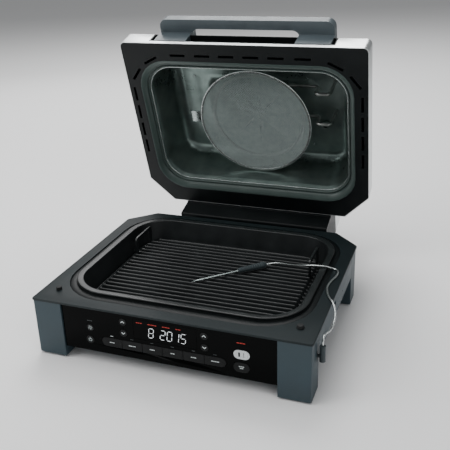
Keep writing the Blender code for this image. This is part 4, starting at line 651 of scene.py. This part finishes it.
# The grate's top: its rows run from front to rear, each as wide as the rounded rectangle there.
# Height is the plate, plus ridges that repeat along Y as a rounded square wave and fade out near the edge,
# or a low rim at the edge.
def grateGrid(values):
    inset = values["inset"]
    half, corner = potValues["halfWidth"] - inset, potValues["radius"] - inset
    front, rear = potValues["front"] + inset, potValues["rear"] - inset
    y = np.linspace(front, rear, values["alongSteps"])
    into = np.minimum(y - front, rear - y)
    width = half - corner + np.sqrt(np.clip(corner**2 - np.clip(corner - into, 0, None) ** 2, 0, None))
    u = np.linspace(-1, 1, values["acrossSteps"])
    u = np.sin(u * math.pi / 2) * 0.35 + u * 0.65  # columns lie closer together near the sides
    x = width[:, None] * u[None, :]
    y = np.broadcast_to(y[:, None], x.shape)
    toSide = half - np.abs(x)
    toEnd = np.minimum(y - front, rear - y)
    inCorner = (toSide < corner) & (toEnd < corner)
    toArc = corner - np.hypot(corner - toSide, corner - toEnd)
    toEdge = np.where(inCorner, toArc, np.minimum(toSide, toEnd))
    count = int((rear - front - values["margin"]) // values["pitch"]) + 1
    first = (front + rear - (count - 1) * values["pitch"]) / 2
    phase = (y - first) / values["pitch"]
    away = np.abs(phase - np.round(phase)) * values["pitch"]
    ridge = 1 / (1 + np.exp((away - values["width"] / 2) / values["ridgeSoft"]))
    ridge *= (np.round(phase) > -0.5) & (np.round(phase) < count - 0.5)
    fade = np.clip((toEdge - values["fadeFrom"]) / values["fadeOver"], 0, 1)
    fade = fade * fade * (3 - 2 * fade)
    rim = 1 / (1 + np.exp((toEdge - values["rim"]) / values["rimSoft"]))
    crown = values["plate"] + (values["crest"] - values["plate"]) * ridge * fade
    crown = np.maximum(crown, values["rimHeight"] * rim)
    crown -= values["edgeDrop"] * np.exp(-((toEdge / values["edgeSoft"]) ** 2))
    top = np.stack([x, y, values["bottom"] + crown], -1)
    low = np.stack([x, y, np.full_like(x, values["bottom"])], -1)
    return top, low


top, low = grateGrid(grateValues)
rows, columns = top.shape[:2]
topFaces = gridFaces(rows, columns, closedColumns=False)
edge = np.concatenate([
    np.arange(columns), np.arange(1, rows) * columns + columns - 1,
    (rows - 1) * columns + np.arange(columns - 2, -1, -1), np.arange(rows - 2, 0, -1) * columns,
])
count = rows * columns
wallFaces = np.stack([edge, np.roll(edge, -1), np.roll(edge, -1) + count, edge + count], -1)
# the underside needs only its edge: one flat face closes it
gratePoints = np.concatenate([top.reshape(-1, 3), low.reshape(-1, 3)])
keep = np.concatenate([np.arange(count), edge + count])
used = np.full(2 * count, -1)
used[keep] = np.arange(len(keep))
grateFaces = used[np.concatenate([topFaces, wallFaces])].tolist() + [used[edge + count].tolist()]
addPiece("grill_grate_ridged", onBase(gratePoints[keep]), grateFaces, "nonstickCoat", "base", "nonstick",
         smooth=55, replaced=["grill_grate"])

# the grate's two lifting brackets: flat bars with two legs, their corners turned
bar = grateValues["handleBar"]
front, rear = grateValues["handleFront"], grateValues["handleRear"]
foot = grateValues["bottom"] + grateValues["plate"] - grateValues["handleSink"]
crown, half = grateValues["handleTop"], grateValues["handleThick"] / 2
inner, outer = grateValues["handleTurns"]
bracket = turnCorners(
    [(front, foot), (front + bar, foot), (front + bar, crown - bar), (rear - bar, crown - bar),
     (rear - bar, foot), (rear, foot), (rear, crown), (front, crown)],
    [0, 0, inner, inner, 0, 0, outer, outer], 6,
)
for side, x in (("left", -grateValues["handleX"]), ("right", grateValues["handleX"])):
    faces = [np.column_stack([np.full(len(bracket), place), bracket]) for place in (x - half, x + half)]
    addSkin(f"grate_handle_{side}", onBase(faces), "nonstickCoat", "base", "nonstick", bevelMm=0.7, smooth=50)
print("pot and grate made")


# the base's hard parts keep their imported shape: each node with its edge's radius in millimetres
for node, width in {
    "base_deck": 0.6, "base_housing": 0.8, "bottom_cover": 1.0, "leg_front_left": 0.9, "leg_front_right": 0.9,
    "leg_rear_left": 0.9, "leg_rear_right": 0.9, "foot_front_left": 0.5, "foot_front_right": 0.5,
    "foot_rear_left": 0.5, "foot_rear_right": 0.5, "lid_bumper": 0.6, "lid_switch_plunger": 0.8,
    "control_panel": 0.25, "display_window": 0.2, "heat_well": 0.0, "lower_element": 0.0, "probe_jack": 0.4,
    "hinge_housing": 0.9, "hinge_shaft": 0.4, "hinge_spring_left": 0.0, "hinge_spring_right": 0.0,
    "power_cord_gland": 0.8, "control_board": 0.2, "temperature_sensor": 0.5,
}.items():
    refine(node, width)
for node in slotOf:
    if node.startswith("key_"):
        refine(node, 0.25, smooth=50)
print("base refined")


# the panel's printed signs, its display and its small lights
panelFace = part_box("display_window")[0].y
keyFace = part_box("key_power")[0].y
inkValues = {"thick": 0.00006, "line": 0.00055, "bold": 2.2, "past": 0.35}


# straight strokes as thin bars: each is (x, z, x, z, width) on the panel, and is a box that runs past
# both ends of the stroke by a share of its width
def inkBoxes(strokes, face, thick):
    strokes = np.asarray(strokes, float)
    first, last, wide = strokes[:, 0:2], strokes[:, 2:4], strokes[:, 4:5]
    along = last - first
    size = np.linalg.norm(along, axis=1, keepdims=True)
    along = np.where(size > 1e-9, along / np.maximum(size, 1e-9), np.array([1.0, 0]))
    side = np.stack([-along[:, 1], along[:, 0]], -1)
    ends = [first - along * wide * inkValues["past"], last + along * wide * inkValues["past"]]
    across = side * wide / 2
    points = np.stack([ends[0] - across, ends[1] - across, ends[1] + across, ends[0] + across], 1)
    boxes = np.empty((len(strokes), 8, 3))
    boxes[..., [0, 2]] = np.concatenate([points, points], 1)
    boxes[:, :4, 1], boxes[:, 4:, 1] = face - thick, face
    one = np.array([[0, 1, 2, 3], [7, 6, 5, 4], [0, 4, 5, 1], [1, 5, 6, 2], [2, 6, 7, 3], [3, 7, 4, 0]])
    faces = (np.arange(len(strokes))[:, None, None] * 8 + one[None]).reshape(-1, 4)
    return boxes.reshape(-1, 3), faces


def addInk(name, strokes, face, finish, body, slot="silver_paint"):
    points, faces = inkBoxes(strokes, face, inkValues["thick"])
    return addPiece(name, points, faces.tolist(), finish, body, slot, smooth=30)


# an arc as short straight strokes between equal angles
def arcStrokes(x, z, radius, start, end, width, steps=20):
    angle = np.radians(np.linspace(start, end, steps + 1))
    px, pz = x + radius * np.cos(angle), z + radius * np.sin(angle)
    return np.stack([px[:-1], pz[:-1], px[1:], pz[1:], np.full(steps, width)], -1)


def shifted(strokes, x, z):
    return np.asarray(strokes, float) + np.array([x, z, x, z, 0])


def keyMiddle(node):
    low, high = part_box(node)
    return (low.x + high.x) / 2, (low.z + high.z) / 2


# a row of small plain blocks, centred: each is as wide as given, with a narrow gap between
def blockRow(widths, z, height, space=0.0007):
    edge = -(sum(widths) + space * (len(widths) - 1)) / 2
    row = []
    for width in widths:
        inset = min(height * 0.35, width / 2)
        row.append([edge + inset, z, edge + width - inset, z, height])
        edge += width + space
    return row


line = inkValues["line"]
bold, ring = line * inkValues["bold"], line * 1.3
rays = [(math.cos(turn), math.sin(turn)) for turn in np.arange(8) * math.pi / 4]
upArrow = np.array([[-0.0024, -0.0010, 0, 0.0014, bold], [0, 0.0014, 0.0024, -0.0010, bold]])
downArrow = upArrow * np.array([1, -1, 1, -1, 1])
signs = {
    "key_light": np.vstack([arcStrokes(0, 0, 0.0014, 0, 360, line),
                            [[x * 0.0024, z * 0.0024, x * 0.0034, z * 0.0034, line] for x, z in rays]]),
    "key_power": np.vstack([arcStrokes(0, -0.0003, 0.0026, 125, 415, ring), [[0, 0.0006, 0, 0.0031, ring]]]),
    "key_temperature_up": upArrow, "key_temperature_down": downArrow,
    "key_preset": [[-0.0036, -0.0026, -0.0036, 0.0026, 0.0026], [0.0032, -0.0034, 0.0032, 0.0034, 0.0007]],
    "key_start_stop": blockRow((0.0022, 0.0016, 0.0024), 0.0016, 0.0013)
    + blockRow((0.0026, 0.0018), -0.0012, 0.0013),
    "key_time_up": upArrow, "key_time_down": downArrow,
}
functionBlocks = [
    (0.0024, 0.0018, 0.0026), (0.0030, 0.0022, 0.0018, 0.0026), (0.0018, 0.0030, 0.0020), (0.0026, 0.0030),
    (0.0022, 0.0018, 0.0030), (0.0028, 0.0018, 0.0024, 0.0030),
]
for index, widths in enumerate(functionBlocks):
    signs[f"key_function_{index + 1}"] = blockRow(widths, 0, 0.0013, 0.0006)
for node, strokes in signs.items():
    ink, slot = ("blackPrintAndShade", "gloss_black") if node == "key_preset" else ("whiteInk", "silver_paint")
    addInk(f"sign_{node}", shifted(strokes, *keyMiddle(node)), keyFace, ink, node, slot)

# the display: five slanted seven-segment digits with thin segments
displayValues = {
    "digits": ((8, -0.0215), (2, -0.0028), (0, 0.0080), (1, 0.0188), (5, 0.0296)),
    "low": 0.0612, "high": 0.0768, "halfWidth": 0.0037, "line": 0.0007, "slant": 0.12, "break": 0.0013,
}
segments = {0: "abcdef", 1: "bc", 2: "abged", 5: "afgcd", 8: "abcdefg"}


def digitStrokes(digit, x, values):
    low, high, half, room = values["low"], values["high"], values["halfWidth"], values["break"]
    middle = (low + high) / 2
    bars = {name: (-half + room, z, half - room, z) for name, z in (("a", high), ("g", middle), ("d", low))}
    for name, x0, z0, z1 in (("f", -half, middle, high), ("b", half, middle, high),
                             ("e", -half, low, middle), ("c", half, low, middle)):
        bars[name] = (x0, z0 + room, x0, z1 - room)
    strokes = np.array([(*bars[name], values["line"]) for name in segments[digit]])
    strokes[:, 0] += x + (strokes[:, 1] - middle) * values["slant"]
    strokes[:, 2] += x + (strokes[:, 3] - middle) * values["slant"]
    return strokes


digitInk = np.vstack([digitStrokes(digit, x, displayValues) for digit, x in displayValues["digits"]])
addInk("display_digits", digitInk, panelFace, "displayLight", "base")

# rows of small marks: (x, z, how tall, how wide each is)
redRows = [
    (-0.040, 0.0832, 0.0010, (0.003, 0.002, 0.003)), (-0.019, 0.0832, 0.0010, (0.004, 0.002, 0.003, 0.003)),
    (0.003, 0.0832, 0.0010, (0.003, 0.004, 0.003)), (0.022, 0.0832, 0.0010, (0.003, 0.004)),
    (0.1169, 0.0786, 0.0011, (0.004, 0.003, 0.004)),
]
redMarks = np.vstack([shifted(blockRow(widths, 0, tall), x, z) for x, z, tall, widths in redRows])
addInk("indicator_lights_red", redMarks, panelFace, "redLight", "base", "silver_paint")

# a dash above each function key, of which the first is lit, and a faint sign above the light's key
dashValues = {"half": 0.0022, "above": 0.0034, "line": 0.0008, "lightAbove": 0.0118}
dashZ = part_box("key_function_1")[1].z + dashValues["above"]
dashes = []
for index in range(6):
    x = keyMiddle(f"key_function_{index + 1}")[0]
    dashes.append([x - dashValues["half"], dashZ, x + dashValues["half"], dashZ, dashValues["line"]])
addInk("panel_mark_lit", dashes[:1], panelFace, "whiteInk", "base")
x, z = keyMiddle("key_light")
lightMark = shifted(blockRow((0.0026, 0.0018, 0.0026), 0, 0.0010, 0.0005), x, z + dashValues["lightAbove"])
dimMarks = np.vstack([dashes[1:], lightMark])
addInk("panel_marks_dim", dimMarks, panelFace, "dimInk", "base")
print("panel printed")


# the lid's inside: seal, liner and wire shield
# places along Y run from the lid's rear edge out to its front edge, so they are negative
frameHole = {"halfWidth": 0.196, "front": -0.3115, "rear": -0.0325, "radius": 0.0575}
cavity = {"halfWidth": 0.184, "front": -0.295, "rear": -0.048, "radius": 0.050, "rim": 0.012, "top": 0.095}
fanCentre = 0.165  # from the lid's rear edge
holeOutline, cavityOutline = outlineOf(frameHole, 20), outlineOf(cavity, 20)
sealValues = {
    "low": 0.0005, "slope": 0.0115, "least": 0.0002, "wall": 0.0032, "skin": 0.0012, "lap": 0.0005,
    "dip": 0.0021, "dipTo": 0.68, "bead": 0.0042, "beadAt": 0.745, "beadWidth": 0.032,
    "groove": 0.0022, "grooveFrom": 0.80, "grooveOver": 0.20,
    "shares": (0, 0.02, 0.06, 0.12, 0.2, 0.3, 0.4, 0.5, 0.58, 0.64, 0.68, 0.71, 0.74, 0.78, 0.82, 0.86,
               0.90, 0.94, 0.975, 1.0),
}


# The seal: a band between the frame's hole and the cavity. A share runs across it, and its height is a
# slope plus a rounded bead, with a narrow groove just before its inner lip.
def sealGrid(values):
    outer, inner = holeOutline(gap), cavityOutline(values["lap"])
    across = np.array(values["shares"])

    def band(shares, heights):
        pairs = zip(shares, heights)
        return [np.column_stack([(1 - s) * outer + s * inner, np.full(len(outer), h)]) for s, h in pairs]

    slope = values["low"] + values["slope"] * across
    height = slope - values["dip"] * np.sin(np.clip(across / values["dipTo"], 0, 1) * math.pi) ** 0.6
    height += values["bead"] * np.exp(-(((across - values["beadAt"]) / values["beadWidth"]) ** 2))
    groove = np.clip((across - values["grooveFrom"]) / values["grooveOver"], 0, 1)
    height -= values["groove"] * np.sin(groove * math.pi) ** 0.8
    height = np.maximum(height, values["least"])
    under = np.minimum(np.maximum(slope + values["wall"], height + values["skin"]), cavity["rim"])
    return np.stack(band(across, height) + band(across[::-1], under[::-1]))


addSkin("lid_seal_moulded", onLid(sealGrid(sealValues)), "siliconeSeal", "lid", "gasket_grey",
        closedRows=True, smooth=70, replaced=["lid_gasket"])

# depressions pressed into the liner's ceiling: (x, way out, half width, half length, depth)
linerValues = {
    "wall": 0.0008,
    "presses": ((-0.150, 0.205, 0.034, 0.056, 0.0034), (0.150, 0.215, 0.034, 0.054, 0.0030),
                (-0.120, 0.255, 0.054, 0.030, 0.0026), (0.128, 0.262, 0.049, 0.028, 0.0026)),
    "ringRadius": 0.115, "ringWidth": 0.008, "ringDepth": 0.0016,
    "shaftHole": 0.005, "rings": 36, "spread": 1.004,
}


# The liner: walls that rise from the rim on a small bend, a large bend into the ceiling, and the ceiling as
# rings that shrink to the shaft's hole, lowered where it is pressed by smooth bumps and by one ring
def linerGrid(values):
    rim, top = cavity["rim"] + gap, cavity["top"]
    wall = turnCorners(
        [(-0.0002, rim), (0.0006, rim + 0.0006), (0.0040, rim + 0.010), (0.0160, top), (0.034, top)],
        [0, 0.0006, 0.008, 0.020, 0], 8,
    )
    rings = ringsOf(cavityOutline, wall)
    middle = np.array([0, -fanCentre])
    last = rings[-1]
    away = last[:, :2] - middle
    hole = values["shaftHole"] * away / np.linalg.norm(away, axis=1, keepdims=True)
    share = np.linspace(0, 1, values["rings"])[1:, None, None]
    flat = middle + (1 - share) * away[None] + share * hole[None]
    ceiling = np.concatenate([flat, np.full(flat.shape[:2] + (1,), top)], -1)
    face = np.concatenate([rings, ceiling])
    press = np.zeros(face.shape[:2])
    for x, out, wide, long, depth in values["presses"]:
        spot = ((face[..., 0] - x) / wide) ** 4 + ((face[..., 1] + out) / long) ** 4
        press = np.maximum(press, depth * np.exp(-(spot**0.6)))
    radius = np.hypot(face[..., 0], face[..., 1] + fanCentre)
    press += values["ringDepth"] * np.exp(-(((radius - values["ringRadius"]) / values["ringWidth"]) ** 2))
    high = np.clip((face[..., 2] - cavity["rim"] - 0.03) / 0.05, 0, 1)
    face[..., 2] -= press * high
    back = face[::-1].copy()
    back[..., 2] += values["wall"] * np.clip((back[..., 2] - cavity["rim"]) / 0.01, 0, 1)
    inward = np.array([0, (cavity["front"] + cavity["rear"]) / 2])
    back[..., :2] = inward + (back[..., :2] - inward) * values["spread"]
    return np.concatenate([face, back])


# the liner's edge lies bright against the seal: a thin rolled bead of bare steel
beadValues = {"inset": 0.0018, "radius": 0.0008, "sides": 8}
beadTurns = np.linspace(0, 2 * math.pi, beadValues["sides"], endpoint=False)
bead = ringsOf(cavityOutline, [
    (beadValues["inset"] + beadValues["radius"] * math.cos(turn),
     cavity["rim"] + beadValues["radius"] * (1 + math.sin(turn))) for turn in beadTurns
])
addSkin("lid_liner_bead", onLid(bead), "brightRim", "lid", "dull_steel", closedRows=True, smooth=70)
addSkin("lid_liner_pressed", onLid(linerGrid(linerValues)), "pressedSteel", "lid", "dull_steel",
        closedRows=True, smooth=60, replaced=["lid_liner"])

shieldLow, shieldHigh = lidBox("splatter_shield")
shieldValues = {"radius": 0.1055, "pitch": 0.0022, "wire": 0.00050, "weave": 0.00050, "turn": 45.0,
                "rings": (0.025, 0.046, 0.065, 0.083, 0.097), "ringDepth": 0.0009, "ringWidth": 0.0013,
                "crown": 0.0016, "rimInner": 0.1035, "rimOuter": 0.1080}


# One set of parallel wires across a disc. Each runs on a chord, with points at its crossings and midway
# between them, rises and falls over the crossing wires as a sine of its own length, and follows the disc's
# shallow crown and its pressed rings. Each is a square bar, and past its ends its points stay at the ends.
def wireSet(values, turn):
    pitch, radius = values["pitch"], values["radius"]
    count = int(radius / pitch)
    offset = (np.arange(-count, count) + 0.5) * pitch
    reach = np.sqrt(radius**2 - offset**2)
    steps = int(math.ceil(radius / (pitch / 2)))
    samples = 2 * steps + 1
    t = np.clip(np.arange(-steps, steps + 1)[None] * pitch / 2, -reach[:, None], reach[:, None])
    t = t + np.linspace(-1, 1, samples)[None] * 0.00002
    o = np.broadcast_to(offset[:, None], t.shape)
    index = np.arange(len(offset))[:, None]
    weave = values["weave"] * np.sin(math.pi * (t / pitch + index))
    away = np.hypot(t, o)
    press = sum(np.exp(-(((away - ring) / values["ringWidth"]) ** 2)) for ring in values["rings"])
    height = weave - values["ringDepth"] * press + values["crown"] * (away / radius) ** 2
    angle = math.radians(turn)
    cosine, sine = math.cos(angle), math.sin(angle)
    centre = np.stack([t * cosine - o * sine, t * sine + o * cosine - fanCentre, height], -1)
    side = np.array([-sine, cosine, 0]) * values["wire"]
    up = np.array([0, 0, values["wire"]])
    points = np.stack([centre + side, centre + up, centre - side, centre - up], 2)
    one = gridFaces(samples, 4)
    caps = np.array([[3, 2, 1, 0], [4 * samples - 4 + k for k in range(4)]])
    one = np.concatenate([one, caps])
    faces = (np.arange(len(offset))[:, None, None] * samples * 4 + one[None]).reshape(-1, 4)
    return points.reshape(-1, 3), faces


shieldMiddle = (shieldLow[2] + shieldHigh[2]) / 2 - 0.0004
for name, turn in (("warp", shieldValues["turn"]), ("weft", shieldValues["turn"] + 90)):
    points, faces = wireSet(shieldValues, turn)
    points[:, 2] += shieldMiddle
    addPiece(f"shield_wires_{name}", onLid(points), faces.tolist(), "wovenWire", "shield", "bright_steel",
             smooth=70, replaced=["splatter_shield"] if name == "warp" else ())
rimLow, rimHigh = shieldLow[2] + 0.0002, shieldHigh[2] - 0.0001
inner, outer = shieldValues["rimInner"], shieldValues["rimOuter"]
rimProfile = turnCorners(
    [(inner, rimLow + 0.0005), (outer, rimLow), (outer, rimHigh), (inner, rimHigh - 0.0004)],
    [0.0004, 0.0010, 0.0010, 0.0004], 4,
)
addSkin("shield_rim", onLid(latheGrid(rimProfile, 96, (0, -fanCentre))), "brightRim", "shield",
        "bright_steel", closedRows=True, smooth=60)
print("lid inside made")

# the lid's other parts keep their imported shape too
lidFinish = {"upper_element": "heatedSteel"}
for node, width in {
    "lid_shell": 0.8, "lid_frame": 0.5, "lid_handle": 3.2, "handle_base": 0.6, "neck_cover": 1.0,
    "rear_hump": 1.2, "upper_element": 0.0, "fan_motor": 0.6, "convection_fan": 0.4, "fan_shaft": 0.3,
    "cooling_fan": 0.4,
}.items():
    refine(node, width, segments=4 if node == "lid_handle" else 2, finish=lidFinish.get(node))


screwValues = {
    "radius": 0.0024, "height": -0.0016, "base": 0.0925,
    "places": ((-0.128, -0.234), (0.093, -0.238), (0.100, -0.098), (-0.100, -0.098)),
}


# a low round screw head on the liner: a flat dome, turned, with a sunk middle
def screwGrid(values, place):
    radius, height, base = values["radius"], values["height"], values["base"]
    shape = [(0.42, 0.55), (0.5, 1), (0.8, 0.9), (1, 0.3), (1, 0)]
    dome = [(radius * out, base + height * up) for out, up in shape]
    return latheGrid([(0.0002, base + height * 0.55), *dome, (0.0002, base)], 20, place)


for index, place in enumerate(screwValues["places"]):
    addSkin(f"liner_screw_{index + 1}", onLid(screwGrid(screwValues, place)), "drawnSteel", "lid",
            "bright_steel", smooth=50)

# the probe hole in the liner's right side: a cup with a rolled rim, and a black disc in its middle as painted
# shade for the hole's depth
cupValues = {
    "place": (0.124, -0.143),
    "rim": [(0.0002, 0.0900), (0.0050, 0.0900), (0.0056, 0.0880), (0.0082, 0.0876), (0.0090, 0.0890),
            (0.0088, 0.0915), (0.0002, 0.0915)],
    "dark": [(0.0002, 0.0893), (0.0049, 0.0893), (0.0049, 0.0899), (0.0002, 0.0899)],
}
cupRim = latheGrid(cupValues["rim"], 32, cupValues["place"])
cupPaintedShade = latheGrid(cupValues["dark"], 24, cupValues["place"])
addSkin("liner_cup_right", onLid(cupRim), "pressedSteel", "lid", "dull_steel", smooth=50)
# a black disc as painted shade where the hole goes in
addSkin("liner_cup_dark", onLid(cupPaintedShade), "blackPrintAndShade", "lid", "satin_black", smooth=50)

# the shield's spring clip at the left: a flat square tab on a bent foot
clipValues = {
    "bend": ((-0.1320, 0.0560), (-0.1305, 0.0525), (-0.1275, 0.0510), (-0.1090, 0.0510), (-0.1070, 0.0520)),
    "thick": (0.0002, 0.0009), "sides": (-0.181, -0.158),
}
clipPath = np.array(clipValues["bend"])
clipSide = np.concatenate([clipPath, clipPath[::-1] + np.array(clipValues["thick"])])
clipGrid = np.stack([
    np.column_stack([clipSide[:, 0], np.full(len(clipSide), y), clipSide[:, 1]]) for y in clipValues["sides"]
])
addSkin("shield_clip", onLid(clipGrid), "drawnSteel", "lid", "bright_steel", bevelMm=0.2, smooth=40)
print("lid refined")

# the floor and the lights
stageValues = {"reach": 6, "drop": -0.0004, "floor": "fbfbfb", "roughness": 0.9,
               "sky": (0.97, 0.985, 1.0, 1.0), "skyStrength": 0.25}
floorMesh = bpy.data.meshes.new("floor")
floorCorners = [(x * stageValues["reach"], y * stageValues["reach"], stageValues["drop"])
                for x, y in ((-1, -1), (1, -1), (1, 1), (-1, 1))]
floorMesh.from_pydata(floorCorners, [], [(0, 1, 2, 3)])
floor = bpy.data.objects.new("floor", floorMesh)
bpy.context.scene.collection.objects.link(floor)
paint = bpy.data.materials.new("pale_floor")
paint.use_nodes = True
paintSockets = paint.node_tree.nodes["Principled BSDF"].inputs
paintSockets["Base Color"].default_value = linear(stageValues["floor"])
paintSockets["Roughness"].default_value = stageValues["roughness"]
floorMesh.materials.append(paint)

world = bpy.data.worlds.new("studio")
bpy.context.scene.world = world
world.use_nodes = True
skySockets = world.node_tree.nodes["Background"].inputs
skySockets["Color"].default_value = stageValues["sky"]
skySockets["Strength"].default_value = stageValues["skyStrength"]

lightValues = {
    "softboxTop": {"place": (-0.4, -0.3, 2.3), "target": (0, 0, 0.1), "size": 1.8, "watts": 30},
    "softboxLeft": {"place": (-1.7, -1.3, 1.5), "target": (0, 0, 0.15), "size": 1.2, "watts": 18},
    "softboxRight": {"place": (1.9, -1.5, 1.3), "target": (0, 0, 0.2), "size": 1.2, "watts": 10},
    "softboxBehind": {"place": (-0.6, 1.7, 2.3), "target": (0, 0, 0.3), "size": 1.8, "watts": 62},
    "softboxSheen": {"place": (-1.35, 1.45, 0.85), "target": (-0.2, -0.1, 0.1), "size": 0.9, "watts": 2.5},
}
for name, values in lightValues.items():
    data = bpy.data.lights.new(name, "AREA")
    data.energy, data.size = values["watts"], values["size"]
    lamp = bpy.data.objects.new(name, data)
    lamp.location = values["place"]
    beam = Vector(values["target"]) - Vector(values["place"])
    lamp.rotation_euler = beam.to_track_quat("-Z", "Y").to_euler()
    bpy.context.scene.collection.objects.link(lamp)
print("studio lit")
